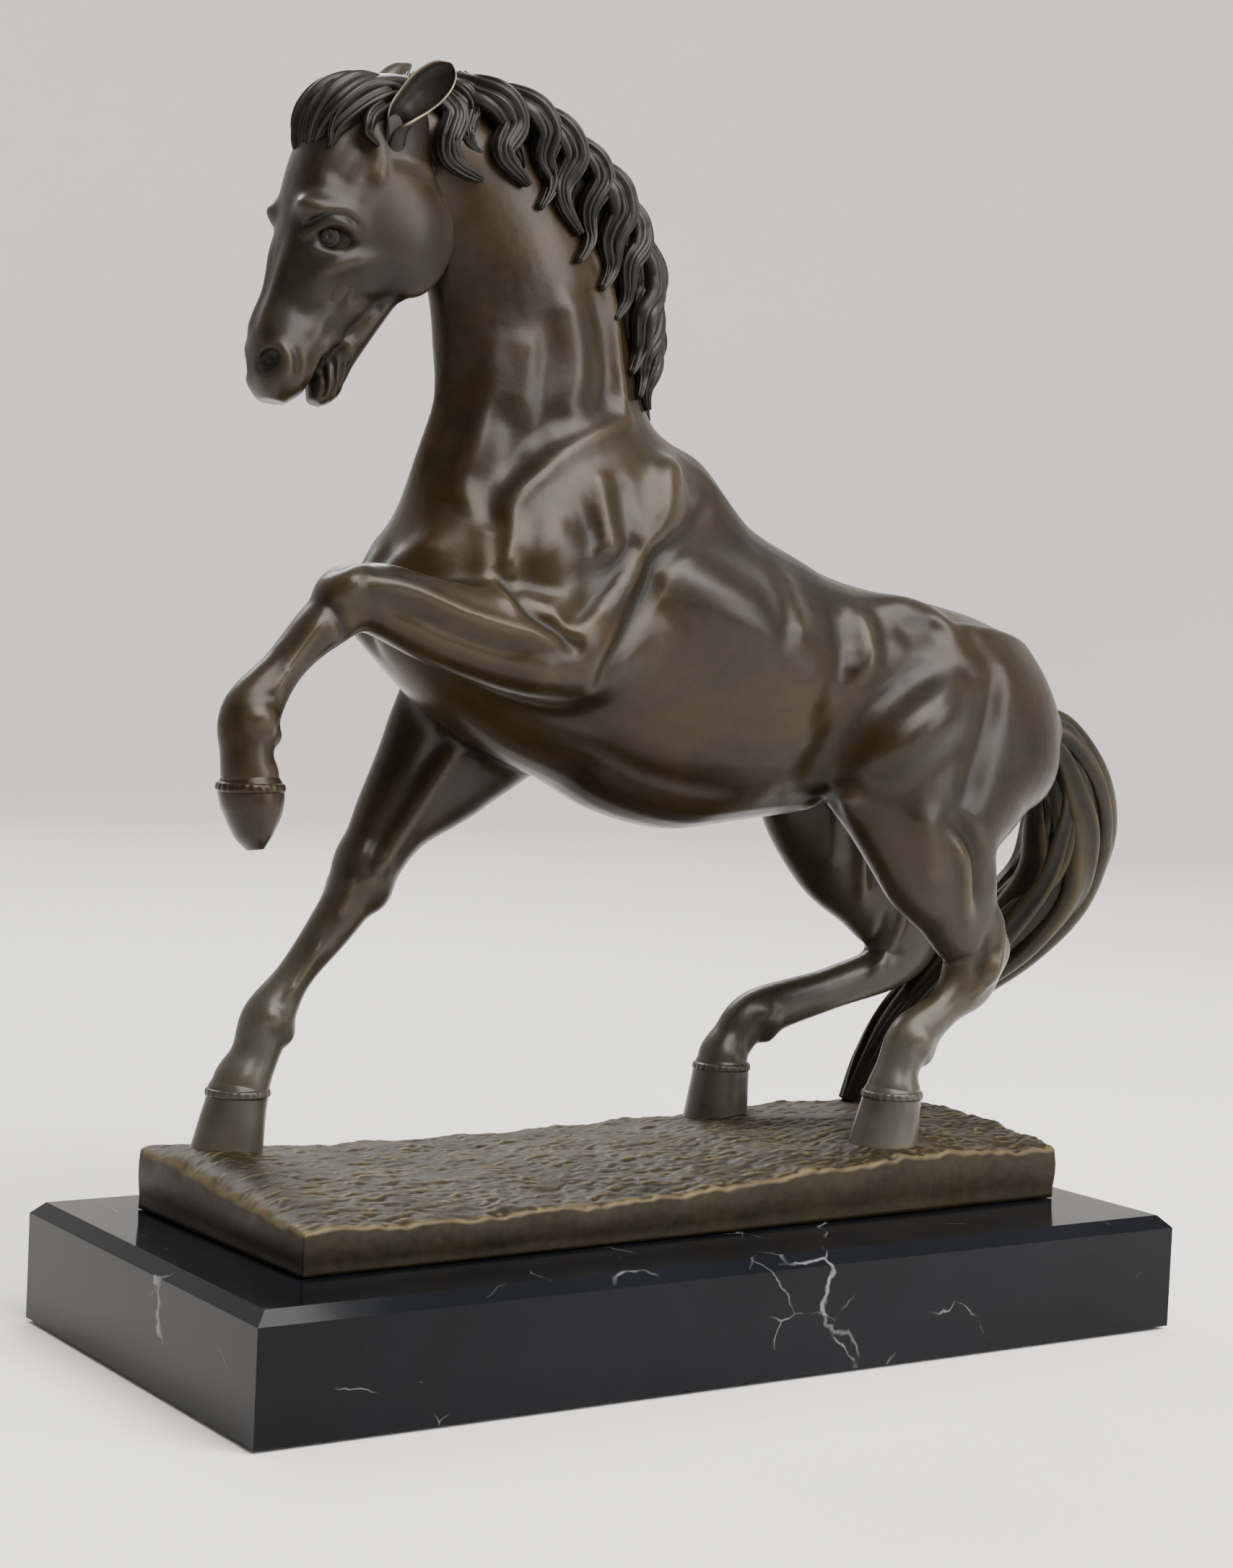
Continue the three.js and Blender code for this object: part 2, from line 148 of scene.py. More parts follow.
def stood(points):
    """From the horse's own frame to the whole statuette's."""
    return points * STANCE_SCALE + STANCE_AT


def facing(points, faces):
    """Each point's normal."""
    normals = np.zeros((len(points), 3))
    for f in faces:
        face = np.cross(points[f[:, 1]] - points[f[:, 0]], points[f[:, -1]] - points[f[:, 0]])
        for corner in f.T:
            normals += summed(corner, face, len(points))
    return unit(normals)


class Web:
    """A mesh's edges, over which values at its points are averaged."""

    def __init__(self, faces, count):
        sides = [f[:, [i, (i + 1) % f.shape[1]]] for f in faces for i in range(f.shape[1])]
        self.ends = np.unique(np.sort(np.vstack(sides), axis=1), axis=0).T
        self.degree = np.maximum(np.bincount(self.ends.ravel(), minlength=count), 1)[:, None]

    def averaged(self, values):
        """Each point's mean of its neighbours."""
        a, b = self.ends
        count = len(values)
        return (summed(a, values[b], count) + summed(b, values[a], count)) / self.degree

    def marks(self, points, normals, near, far, kind):
        """How hollow and how ridged each point is, from 0 to 1, for the patina and the painted shade in the
        hollows; near and far are in mm.
        """
        depths = []
        for times, deep in zip(kind["times"], (near, far)):
            wide = points
            for _ in range(times):
                wide = self.averaged(wide)
            depths.append(np.einsum("ij,ij->i", wide - points, normals) / deep)
        made = {}
        for key, sign in (("hollow", 1), ("ridge", -1)):
            terms = [share * ease(start, 1.0, sign * depth)
                     for depth, (start, share) in zip(depths, kind[key])]
            made[key] = np.clip(sum(terms), 0, 1)
        return made


# How the marks for the patina and the painted shade in the hollows are worked out: how often the surface is
# averaged for the fine and for the broad relief, then the depth at which each begins to count and its share,
# for hollows and for ridges.
SKIN_MARKS = {"times": (4, 30), "hollow": ((0.15, 0.6), (0.15, 0.6)), "ridge": ((0.2, 0.6), (0.3, 0.4))}
MESH_MARKS = {"times": (2, 12), "hollow": ((0.15, 0.5), (0.15, 0.7)), "ridge": ((0.15, 0.6), (0.15, 0.6))}


# ---------------------------------------------------------------- clay: signed distances on a lattice
class Clay:
    """A block of signed distances in mm, negative inside, in which shapes melt together."""

    REACH = 13  # voxels on each side of a surface where its distance is known

    def __init__(self, low, high, voxel):
        self.low = np.array(low, float)
        self.voxel = voxel
        self.shape = tuple(np.ceil((np.array(high) - self.low) / voxel).astype(int) + 1)
        self.transform = vdb.createLinearTransform(voxelSize=voxel)
        self.field = np.full(self.shape, self.REACH * voxel, np.float32)

    def distances(self, shape):
        """A shape's own field of signed distances."""
        points, (tris, quads) = shape
        grid = vdb.FloatGrid.createLevelSetFromPolygons(
            (points - self.low).astype(np.float32),
            triangles=tris.astype(np.uint32),
            quads=quads.astype(np.uint32),
            transform=self.transform,
            halfWidth=self.REACH,
        )
        made = np.empty(self.shape, np.float32)
        grid.copyToArray(made, ijk=(0, 0, 0))
        return made

    def fuse(self, other, soft):
        """Adds a field, with a fillet of about `soft` mm."""
        mix = np.clip(0.5 + 0.5 * (other - self.field) / soft, 0, 1)
        self.field = other + (self.field - other) * mix - soft * mix * (1 - mix)

    def ball(self, centre, radii, soft, tilt=0.0, cut=False):
        """Adds or cuts an ellipsoid that is tilted about Y, by `tilt` degrees."""
        reach = max(radii) + 3 * soft
        lo = np.maximum(((np.array(centre) - reach - self.low) / self.voxel).astype(int), 0)
        hi = np.minimum(((np.array(centre) + reach - self.low) / self.voxel).astype(int) + 2, self.shape)
        window = tuple(slice(a, b) for a, b in zip(lo, hi))
        axes = [np.arange(a, b) * self.voxel + o - c for a, b, o, c in zip(lo, hi, self.low, centre)]
        x, y, z = np.meshgrid(*axes, indexing="ij", sparse=True)
        ca, sa = math.cos(math.radians(tilt)), math.sin(math.radians(tilt))
        u, w = x * ca + z * sa, z * ca - x * sa
        near = np.sqrt((u / radii[0]) ** 2 + (y / radii[1]) ** 2 + (w / radii[2]) ** 2)
        steep = np.sqrt((u / radii[0] ** 2) ** 2 + (y / radii[1] ** 2) ** 2 + (w / radii[2] ** 2) ** 2)
        other = near * (near - 1) / np.maximum(steep, 1e-6)
        here = self.field[window]
        if cut:
            mix = np.clip(0.5 - 0.5 * (here + other) / soft, 0, 1)
            self.field[window] = here * (1 - mix) - other * mix + soft * mix * (1 - mix)
        else:
            mix = np.clip(0.5 + 0.5 * (other - here) / soft, 0, 1)
            self.field[window] = other + (here - other) * mix - soft * mix * (1 - mix)

    def surface(self):
        """Points and quads of the surface, facing out."""
        grid = vdb.FloatGrid()
        grid.copyFromArray(np.ascontiguousarray(self.field), ijk=(0, 0, 0), tolerance=0.0)
        grid.transform = self.transform
        points, quads = grid.convertToQuads(0.0)
        quads = quads.astype(np.int64)
        p = points.astype(float)
        a, b, c = p[quads[:, 0]], p[quads[:, 1]], p[quads[:, 2]]
        if np.einsum("ij,ij->i", a, np.cross(b, c)).sum() < 0:
            quads = quads[:, ::-1]
        return p + self.low, quads

    def sample(self, field, points):
        """A field's value at each point."""
        at = np.clip((points - self.low) / self.voxel, 0, np.array(self.shape) - 1.001)
        i = at.astype(int)
        f = at - i
        total = np.zeros(len(points))
        for corner in range(8):
            step = np.array([corner >> 2 & 1, corner >> 1 & 1, corner & 1])
            share = np.prod(np.where(step, f, 1 - f), axis=1)
            total += share * field[tuple((i + step).T)]
        return total


class Skin:
    """A surface that strokes can raise and press. `on` holds each point's share of each named part."""

    def __init__(self, points, quads):
        self.points = points
        self.quads = quads
        self.web = Web([quads], len(points))
        self.on = {}
        self.turn()

    def turn(self):
        """Works the normals out again."""
        p, q = self.points, self.quads
        face = np.cross(p[q[:, 2]] - p[q[:, 0]], p[q[:, 3]] - p[q[:, 1]])
        self.normals = unit(sum(summed(corner, face, len(p)) for corner in q.T))

    def relax(self, times, share=0.5):
        """Moves each point towards the middle of its neighbours."""
        for _ in range(times):
            self.points = self.points + share * (self.web.averaged(self.points) - self.points)
        self.turn()

    def marks(self, near, far):
        """The marks for the patina."""
        return self.web.marks(self.points, self.normals, near, far, SKIN_MARKS)

    def stroke(self, amount, width, path, part=None, side=0, view="side"):
        """Raises a ridge, or presses a groove if `amount` is negative, along a path drawn in one view.

        The side view's path is in (x, z) and the front view's in (y, z). A long path fades at its ends.
        `part` is what the stroke keeps to, and `side` is -1 for the left, 1 for the right and 0 for both.
        """
        flat = {"side": (0, 2), "front": (1, 2)}[view]
        curve = smoothed(path, 6) if len(path) > 2 else np.array(path, float)
        lo, hi = curve.min(0) - 3 * width, curve.max(0) + 3 * width
        where = self.points[:, flat]
        near = np.all((where > lo) & (where < hi), axis=1)
        if side:
            near &= self.points[:, 1] * side > 0
        at = np.flatnonzero(near)
        here = where[at]
        best = np.full(len(at), 1e9)
        share = np.zeros(len(at))
        for i, (a, b) in enumerate(zip(curve[:-1], curve[1:])):
            span = b - a
            t = np.clip((here - a) @ span / max(span @ span, 1e-9), 0, 1)
            far = np.linalg.norm(here - a - t[:, None] * span, axis=1)
            closer = far < best
            best = np.where(closer, far, best)
            share = np.where(closer, (i + t) / (len(curve) - 1), share)
        bump = np.exp(-((best / width) ** 2))
        length = np.linalg.norm(np.diff(curve, axis=0), axis=1).sum()
        if length > 5 * width:
            bump = bump * (0.12 + 0.88 * ease(0, 3.5 * width, length * np.minimum(share, 1 - share)))
        if view == "side":
            bump = bump * ease(0.05, 0.45, np.abs(self.normals[at, 1]))
        else:
            bump = bump * ease(0.1, 0.5, -self.normals[at, 0])
        if part is not None:
            bump = bump * self.on[part][at]
        self.points[at] += (amount * bump)[:, None] * self.normals[at]


# ---------------------------------------------------------------- the horse's stations, close to the CAD's
BARREL = [
    [-80, 0, 184, 5, 6, 6], [-73, 0, 182, 15, 17, 15], [-60, 0, 181, 26, 23, 26], [-42, 0, 180, 38, 26, 35],
    [-20, 0, 178, 46, 28, 41], [0, 0, 174, 49, 29, 45, 0.85, 1], [20, 0, 170, 36, 30, 44, 0.9, 1],
    [42, 0, 166, 31, 30, 36, 0.95, 1], [64, 0, 166, 25, 30, 30], [86, 0, 166, 22, 31, 26],
    [104, 0, 163, 20, 28, 22], [118, 0, 158, 13, 22, 17], [129, 0, 153, 8, 15, 11], [136, 0, 151, 3, 6, 5],
]
NECK = [
    [-30, 0, 196, 44, 25, 36], [-34, 0, 214, 36, 20, 34], [-36, 0, 232, 28, 15, 30],
    [-38, 0, 250, 27, 13, 26], [-44, 0, 266, 25, 12, 23], [-54, 0, 280, 22, 11.5, 19],
    [-66, 0, 289, 18, 11, 13],
]
HEAD = [
    [-76, 0, 300, 5, 5, 5], [-79, 0, 294, 11, 11, 12], [-84, 0, 281, 17, 12.4, 18, 1, 1.05],
    [-88, 0, 267, 19, 12.4, 18, 1, 1.08], [-93, 0, 256, 15, 11, 15, 1, 1.05], [-98, 0, 246, 10, 9, 12],
    [-103, 0, 237, 8, 8.5, 10], [-106, 0, 229, 6, 7.6, 6], [-107, 0, 225, 3, 4.5, 2.6],
]
LOWER_JAW = [
    [-80, 0, 252, 4, 7, 4], [-86, 0, 244, 4.5, 6, 4.5], [-91, 0, 236, 4.2, 5.5, 4.2],
    [-94, 0, 229, 3.8, 5.5, 3.6], [-96, 0, 225.5, 1.5, 3, 1.5],
]
MANE_CREST = [
    [-67, 0, 300, 5, 7, 8], [-52, 0, 297, 7, 9, 11], [-35, 0, 288, 9, 9, 11], [-21, 0, 275, 9, 9, 11],
    [-14, 0, 261, 8, 8, 9], [-10, 0, 247, 6, 7, 8], [-7, 0, 236, 5, 5, 6], [-3, 0, 229, 2, 3, 3],
]
FORELOCK = [
    [-71, 0, 301, 5, 7, 3], [-80, 0, 301, 6, 10, 5], [-90, 0, 297, 8, 12, 6], [-98, -1, 289, 6, 9, 5],
    [-101, -2, 280, 2, 4, 2],
]
LIMBS = {
    "left_hind": [
        [82, -13, 178, 31, 12, 26], [81, -18, 162, 39, 14, 39], [80, -21, 146, 40, 14.5, 38],
        [79, -24, 133, 28, 13, 33], [80, -26, 120, 16, 10.5, 21], [86, -26, 109, 10.5, 8.5, 14],
        [93, -25.5, 98, 8, 6.5, 11.5], [90, -25.5, 89, 8.5, 5.5, 9], [82, -26, 81.7, 5, 4.2, 5.5],
        [72, -26, 74.5, 6.5, 5.5, 7], [68, -26, 66.5, 5, 5.5, 6.5], [66.9, -26, 61.4, 6.8, 6.9, 7.8],
        [66.3, -26, 55, 6, 6, 7],
    ],
    "right_hind": [
        [89, 13, 176, 30, 12, 27], [88, 18, 162, 35, 14, 38], [88, 21, 146, 34, 14.5, 36],
        [88.5, 24, 131, 23, 12.5, 30], [92, 25, 118, 17, 10, 21], [100, 25, 107, 12, 8, 14],
        [113, 24, 95, 8, 6.5, 14], [106, 24, 87, 6.8, 5.8, 7.8], [84, 25, 80, 5.6, 4.8, 6.4],
        [61, 27, 74, 7, 5.5, 7], [54, 28, 67, 6, 5.5, 6.5], [51, 28, 62, 7, 6.8, 7.2],
        [50.6, 28, 55, 6, 6, 6.5],
    ],
    "left_fore": [
        [-12, -12, 180, 5, 6, 7], [-24, -19, 175, 11, 9, 13], [-36, -23.5, 172, 13, 10, 14.5],
        [-52, -25, 172, 12, 9, 12], [-74, -25, 176, 10, 8, 10], [-93, -24, 181, 8, 7.5, 8],
        [-104, -24, 175, 6.5, 6, 5.5],
        [-114, -25, 165, 5, 4.5, 4.5], [-122, -26, 154, 7, 5.5, 7], [-123, -27, 145, 6, 5.5, 6],
        [-122, -27, 140, 6.6, 6.3, 6.6], [-121.3, -27, 134, 5, 5, 5],
    ],
    "right_fore": [
        [-29.5, 18, 172, 22, 11, 24], [-35.5, 19, 157, 24, 11, 23], [-46, 21.5, 141, 17, 10, 18],
        [-58, 22, 126.8, 10, 8.5, 11], [-66, 22, 112.6, 7, 6.5, 7.5], [-74.3, 22, 101.4, 6, 5.5, 5.5],
        [-83.8, 22, 89.3, 4.7, 4.3, 4.5], [-90.6, 22, 79.2, 7, 5.5, 6.5], [-93.6, 22, 70.2, 6, 5.5, 6],
        [-96.8, 22, 63.2, 7, 6.8, 7.4], [-97.4, 22, 56, 6, 6, 7],
    ],
}
# Where the body is parted into pieces: a point of each parting plane and its normal, towards the far end.
JOINTS = {
    "neck": ([-39, 0, 207], [-0.423, 0, 0.906]),
    "left_arm": ([-43, 0, 171], [-0.72, 0, -0.69]),
    "left_knee": ([-97, 0, 179], [-0.8, 0, -0.6]),
    "right_arm": ([-44, 0, 146.5], [-0.375, 0, -0.927]),
    "right_knee": ([-77, 0, 102], [-0.62, 0, -0.78]),
    "stifles": ([47, 0, 126.5], [0, 0, -1]),
    "left_hock": ([92, 0, 96], [0, 0, -1]),
    "right_hock": ([110, 0, 93], [-0.15, 0, -0.98]),
}


def beyond(points, joint):
    """Which points lie past one of the partings."""
    at, normal = JOINTS[joint]
    return (points - at) @ np.array(normal) > 0


# ---------------------------------------------------------------- materials
class Paint:
    """A node material built in a few words."""

    def __init__(self, name):
        self.material = bpy.data.materials.new(name)
        self.material.use_nodes = True
        self.tree = self.material.node_tree
        self.shader = self.tree.nodes["Principled BSDF"]
        self.place = self.node("TexCoord").outputs["Object"]

    def node(self, kind, inputs=None, **settings):
        made = self.tree.nodes.new("ShaderNode" + kind)
        for name, value in settings.items():
            setattr(made, name, value)
        for key, value in (inputs or {}).items():
            self.feed(made.inputs[key], value)
        return made

    def feed(self, socket, value):
        """Links a socket to another, or sets it; one number fills a vector and a colour gets its alpha."""
        if isinstance(value, bpy.types.NodeSocket):
            self.tree.links.new(value, socket)
        elif hasattr(socket.default_value, "__len__") and not hasattr(value, "__len__"):
            socket.default_value = (value, value, value)
        elif hasattr(value, "__len__") and len(value) == 3 and len(socket.default_value) == 4:
            socket.default_value = (*value, 1)
        else:
            socket.default_value = value

    def noise(self, scale, detail=4, rough=0.55, stretch=None, bend=0.0):
        """A noise in the object's own metres."""
        at = self.place
        if stretch:
            at = self.node("Mapping", {"Vector": at, "Scale": stretch}).outputs[0]
        made = self.node("TexNoise", {"Vector": at, "Scale": scale, "Detail": detail, "Roughness": rough,
                                      "Distortion": bend})
        return made.outputs["Fac"]

    def level(self, value, low, high, to_low=0.0, to_high=1.0):
        """Maps low..high to to_low..to_high, clamped."""
        made = self.node("MapRange", {"Value": value, "From Min": low, "From Max": high, "To Min": to_low,
                                      "To Max": to_high})
        return made.outputs[0]

    def mix(self, share, a, b):
        """Colour `a` where the share is 0 and `b` where it is 1."""
        made = self.node("Mix", data_type="RGBA", blend_type="MIX")
        self.feed(made.inputs["Factor"], share)
        self.feed(made.inputs[6], a)
        self.feed(made.inputs[7], b)
        return made.outputs[2]

    def maths(self, how, a, b=0.0):
        made = self.node("Math", operation=how)
        self.feed(made.inputs[0], a)
        self.feed(made.inputs[1], b)
        return made.outputs[0]

    def bump(self, height, distance, strength=1.0, onto=None):
        inputs = {"Height": height, "Distance": distance, "Strength": strength}
        if onto is not None:
            inputs["Normal"] = onto
        return self.node("Bump", inputs).outputs[0]

    def finish(self, **sockets):
        """Feeds the shader's own sockets, which go by short names, and gives the material."""
        names = {"color": "Base Color", "rough": "Roughness", "metal": "Metallic", "normal": "Normal",
                 "coat": "Coat Weight", "coat_rough": "Coat Roughness", "sheen": "Sheen Weight",
                 "level": "Specular IOR Level"}
        for key, value in sockets.items():
            self.feed(self.shader.inputs[names[key]], value)
        return self.material


# The colour of the hollows: dark patina gathered there, and painted shade.
SHADE_AND_PATINA_COLOUR = (0.0025, 0.0022, 0.0016)
# A grey patina towards the feet, which also paints in the grey sheen of the legs.
GREY_PATINA_AND_SHEEN_COLOUR = (0.080, 0.077, 0.060)


def bronze(name, dark, warm, worn, wear, rough, coat=0.12, shade_and_patina=0.75, grey=0.0):
    """Patinated bronze: olive brown with warm patches, dark in the hollows, by patina and by painted shade,
    and rubbed on the ridges.

    `dark`, `warm` and `worn` are its colours. `wear` and `shade_and_patina` are how strongly the ridges are
    rubbed and the hollows darkened, by patina and by painted shade, and `grey` is how much the patina turns
    grey towards the feet, which also paints in a grey sheen on the legs.
    """
    p = Paint(name)
    patches = p.level(p.noise(22, 5, 0.6, bend=0.4), 0.36, 0.68)
    speckle = p.level(p.noise(420, 3, 0.6), 0.3, 0.75)
    hollow = p.node("Attribute", attribute_name="hollow").outputs["Fac"]
    ridge = p.node("Attribute", attribute_name="ridge").outputs["Fac"]
    base = p.mix(patches, dark, warm)
    # Grey patches towards the feet: patina, and a painted grey sheen on the legs.
    if grey:
        height = p.node("SeparateXYZ", {"Vector": p.place}).outputs["Z"]
        low = p.level(height, 0.05, 0.13, grey, 0.0)
        grey_and_sheen = p.maths("MULTIPLY", low, p.level(p.noise(50, 4), 0.3, 0.7, 0.3, 1.0))
        base = p.mix(grey_and_sheen, base, GREY_PATINA_AND_SHEEN_COLOUR)
    base = p.mix(p.maths("MULTIPLY", speckle, 0.06), base, worn)
    rubbed = p.maths("MULTIPLY", ridge, p.level(p.noise(160, 3), 0.3, 0.65, 0.35, wear))
    base = p.mix(rubbed, base, worn)
    # The hollows are darkened: patina that gathers there, and painted shade.
    base = p.mix(p.level(hollow, 0.0, 1.0, 0.0, shade_and_patina), base, SHADE_AND_PATINA_COLOUR)
    smudge = p.level(p.noise(60, 5, 0.65), 0.3, 0.75, rough - 0.06, rough + 0.12)
    smudge = p.maths("ADD", smudge, p.maths("MULTIPLY", hollow, 0.3))
    normal = p.bump(p.noise(900, 3), 0.00006, 0.5)
    normal = p.bump(p.noise(110, 4), 0.0004, 0.3, onto=normal)
    return p.finish(color=base, rough=smudge, metal=0.2, level=0.2, normal=normal, coat=coat, coat_rough=0.25)


BRONZE = bronze("bronze", (0.0055, 0.0035, 0.0014), (0.022, 0.012, 0.0022), (0.075, 0.058, 0.032),
                wear=0.25, rough=0.34, grey=0.75)
DARK_BRONZE = bronze("dark_bronze", (0.0022, 0.0020, 0.0016), (0.0055, 0.0047, 0.003), (0.05, 0.044, 0.032),
                     wear=0.4, rough=0.38, coat=0.05, shade_and_patina=0.9)
EAR_BRONZE = bronze("ear_bronze", (0.012, 0.0095, 0.0065), (0.022, 0.017, 0.010), (0.42, 0.36, 0.24),
                    wear=0.9, rough=0.34, shade_and_patina=0.8)
TAIL_BRONZE = bronze("tail_bronze", (0.002, 0.0018, 0.0013), (0.0065, 0.0049, 0.0022), (0.11, 0.085, 0.038),
                     wear=0.55, rough=0.38, coat=0.05, shade_and_patina=0.9)
GROUND = bronze("ground_bronze", (0.0065, 0.0048, 0.002), (0.017, 0.0115, 0.0035), (0.20, 0.15, 0.065),
                wear=0.75, rough=0.46, coat=0.0, shade_and_patina=0.7)


# The marble's veins, coarse and fine: the scale of their net, their thinness in it and their strength.
VEINS = ((9.0, 0.004, 0.5), (26.0, 0.006, 0.35))
VEIN_COLOUR = (0.42, 0.42, 0.43)
FLECK_COLOUR = (0.35, 0.35, 0.36)


def marble():
    """Polished black marble with fine broken white veins."""
    p = Paint("black_marble")
    cloud = p.level(p.noise(9, 5, 0.6, bend=0.6), 0.35, 0.75)
    base = p.mix(cloud, (0.0025, 0.003, 0.004), (0.006, 0.0065, 0.0085))
    warp = p.node("TexNoise", {"Vector": p.place, "Scale": 14, "Detail": 6}).outputs["Color"]
    bent = p.node("VectorMath", {0: warp, 1: (0.05, 0.05, 0.05), 2: p.place}, operation="MULTIPLY_ADD")
    for scale, thin, strength in VEINS:
        net = {"Vector": bent.outputs[0], "Scale": scale}
        edge = p.node("TexVoronoi", net, feature="DISTANCE_TO_EDGE").outputs["Distance"]
        vein = p.level(edge, 0.0, thin, 1.0, 0.0)
        broken = p.level(p.noise(12 + scale, 4), 0.55, 0.66)
        base = p.mix(p.maths("MULTIPLY", p.maths("MULTIPLY", vein, broken), strength), base, VEIN_COLOUR)
    flecks = p.node("TexVoronoi", {"Vector": p.place, "Scale": 160}).outputs["Distance"]
    fleck = p.maths("MULTIPLY", p.level(flecks, 0.03, 0.07, 1.0, 0.0), p.level(p.noise(45), 0.62, 0.7))
    base = p.mix(p.maths("MULTIPLY", fleck, 0.5), base, FLECK_COLOUR)
    rough = p.level(p.noise(40, 4), 0.3, 0.7, 0.06, 0.12)
    return p.finish(color=base, rough=rough, level=0.12)


def steel():
    """Zinc-plated steel of the fixings."""
    p = Paint("zinc_steel")
    rough = p.level(p.noise(300, 3, stretch=(1, 1, 6)), 0.3, 0.7, 0.28, 0.48)
    base = p.mix(p.noise(120), (0.42, 0.42, 0.40), (0.58, 0.57, 0.54))
    return p.finish(color=base, metal=1.0, rough=rough, normal=p.bump(p.noise(700), 0.00005))


def felt():
    """The green felt under the slab."""
    p = Paint("green_felt")
    fibre = p.noise(900, 6, 0.7, bend=1.5)
    base = p.mix(fibre, (0.008, 0.03, 0.014), (0.02, 0.065, 0.03))
    return p.finish(color=base, rough=0.95, sheen=0.4, normal=p.bump(fibre, 0.0004))


# ---------------------------------------------------------------- pieces
def mesh_marks(points, faces, wear):
    """The marks for the patina and the painted shade in the hollows, for any shape; `wear` is how deep the
    fine and the broad hollows are, in mm.
    """
    return Web(faces, len(points)).marks(points, facing(points, faces), *wear, MESH_MARKS)


def piece(name, shape, material, nodes=(), slot=None, normals=None, marks=None, wear=None):
    """A Blender piece from a shape in mm. It rides on the statuette and stands for the CAD nodes."""
    points, faces = shape
    if marks is None:
        marks = mesh_marks(points, faces, wear)
    mesh = bpy.data.meshes.new(name)
    mesh.vertices.add(len(points))
    mesh.vertices.foreach_set("co", (points * MM).astype(np.float32).ravel())
    loops = np.concatenate([f.ravel() for f in faces]).astype(np.int32)
    sizes = np.concatenate([np.full(len(f), f.shape[1]) for f in faces])
    mesh.loops.add(len(loops))
    mesh.loops.foreach_set("vertex_index", loops)
    mesh.polygons.add(len(sizes))
    mesh.polygons.foreach_set("loop_start", np.concatenate([[0], np.cumsum(sizes)[:-1]]).astype(np.int32))
    mesh.update(calc_edges=True)
    mesh.validate()
    mesh.polygons.foreach_set("use_smooth", np.ones(len(sizes), bool))
    for key, values in marks.items():
        mesh.attributes.new(key, "FLOAT", "POINT").data.foreach_set("value", values.astype(np.float32))
    if normals is not None:
        mesh.normals_split_custom_set_from_vertices(normals)
    mesh.materials.append(material)
    made = bpy.data.objects.new(name, mesh)
    bpy.context.scene.collection.objects.link(made)
    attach(made, BODY)
    if nodes:
        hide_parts(*nodes)
    return made


def cast(name, shape, material=BRONZE, slot="bronze", **more):
    """The piece that stands for one CAD node, from a shape in the horse's own frame."""
    points, faces = shape
    return piece(name + "_bronze", (stood(points), faces), material, [name], slot, **more)


def closed(points, quads):
    """Quads as a closed shape: each open rim is closed by a fan. Also gives the points' old numbers."""
    old, quads = np.unique(quads, return_inverse=True)
    quads = quads.reshape(-1, 4)
    heads = np.vstack([quads[:, [i, (i + 1) % 4]] for i in range(4)])
    code = heads[:, 0] * len(old) + heads[:, 1]
    back = heads[:, 1] * len(old) + heads[:, 0]
    after = dict(heads[~np.isin(code, back)].tolist())
    extra, tris = [], []
    left = set(after)
    while left:
        loop, at = [], next(iter(left))
        while at in left:
            left.discard(at)
            loop.append(at)
            at = after[at]
        middle = len(old) + len(extra)
        extra.append(points[old[loop]].mean(0))
        tris += [(middle, after[a], a) for a in loop]
    return np.vstack([points[old], extra]), [np.array(tris), quads], old


def cast_part(name, skin, chosen, marks):
    """A closed part of a skin. It keeps the skin's normals, so that its joints don't show."""
    points, faces, old = closed(skin.points, skin.quads[chosen])
    spare = len(points) - len(old)
    normals = np.vstack([skin.normals[old], np.tile([0.0, 0.0, 1.0], (spare, 1))])
    own = {key: np.concatenate([values[old], np.ones(spare)]) for key, values in marks.items()}
    cast(name, (points, faces), normals=normals, marks=own)


# ---------------------------------------------------------------- the fused body
# The corners of the two blocks of clay, in the horse's own frame.
BODY_BLOCK = ((-135, -44, 40), (146, 44, 306))
HEAD_BLOCK = ((-122, -21, 216), (-56, 21, 307))
# How far in mm the neck, the head and a limb melt into the body, and how much smaller the body's own head
# is, so that the finer head covers it.
NECK_MELT, HEAD_MELT, LIMB_MELT = 9, 4, 5.5
HEAD_INSET = 1.2
# How deep in mm the fine and the broad hollows of the body are, for the marks of the patina and of the
# painted shade in the hollows.
BODY_WEAR = (0.14, 1.6)
# How much higher and narrower the body's strokes are made than they are drawn.
RELIEF, SPREAD = 1.2, 0.88


def body_skin():
    """The fused body's surface, with each point's share of every part, and the clay that it came from."""
    clay = Clay(*BODY_BLOCK, BODY_VOXEL)
    parts = {"barrel": BARREL, "neck": NECK, "head": HEAD, **LIMBS}
    grow = {"head": -HEAD_INSET}
    fields = {name: clay.distances(loft(made, grow=grow.get(name, 0))) for name, made in parts.items()}
    clay.field = fields["barrel"].copy()
    clay.fuse(fields["neck"], NECK_MELT)
    clay.fuse(fields["head"], HEAD_MELT)
    for name in LIMBS:
        clay.fuse(fields[name], LIMB_MELT)
    for (x, y, z), radii, soft, tilt in MASSES:
        for side in (-1, 1):
            clay.ball((x, side * y, z), radii, soft, tilt)
    for knob in KNOBS:
        clay.ball(*knob)
    skin = Skin(*clay.surface())
    skin.relax(3)
    at = {name: clay.sample(field, skin.points) for name, field in fields.items()}
    for name in parts:
        others = np.min([at[n] for n in parts if n != name], axis=0)
        skin.on[name] = ease(-2.5, 2.5, others - at[name])
    skin.on["trunk"] = np.clip(skin.on["barrel"] + skin.on["neck"], 0, 1)
    return skin, clay


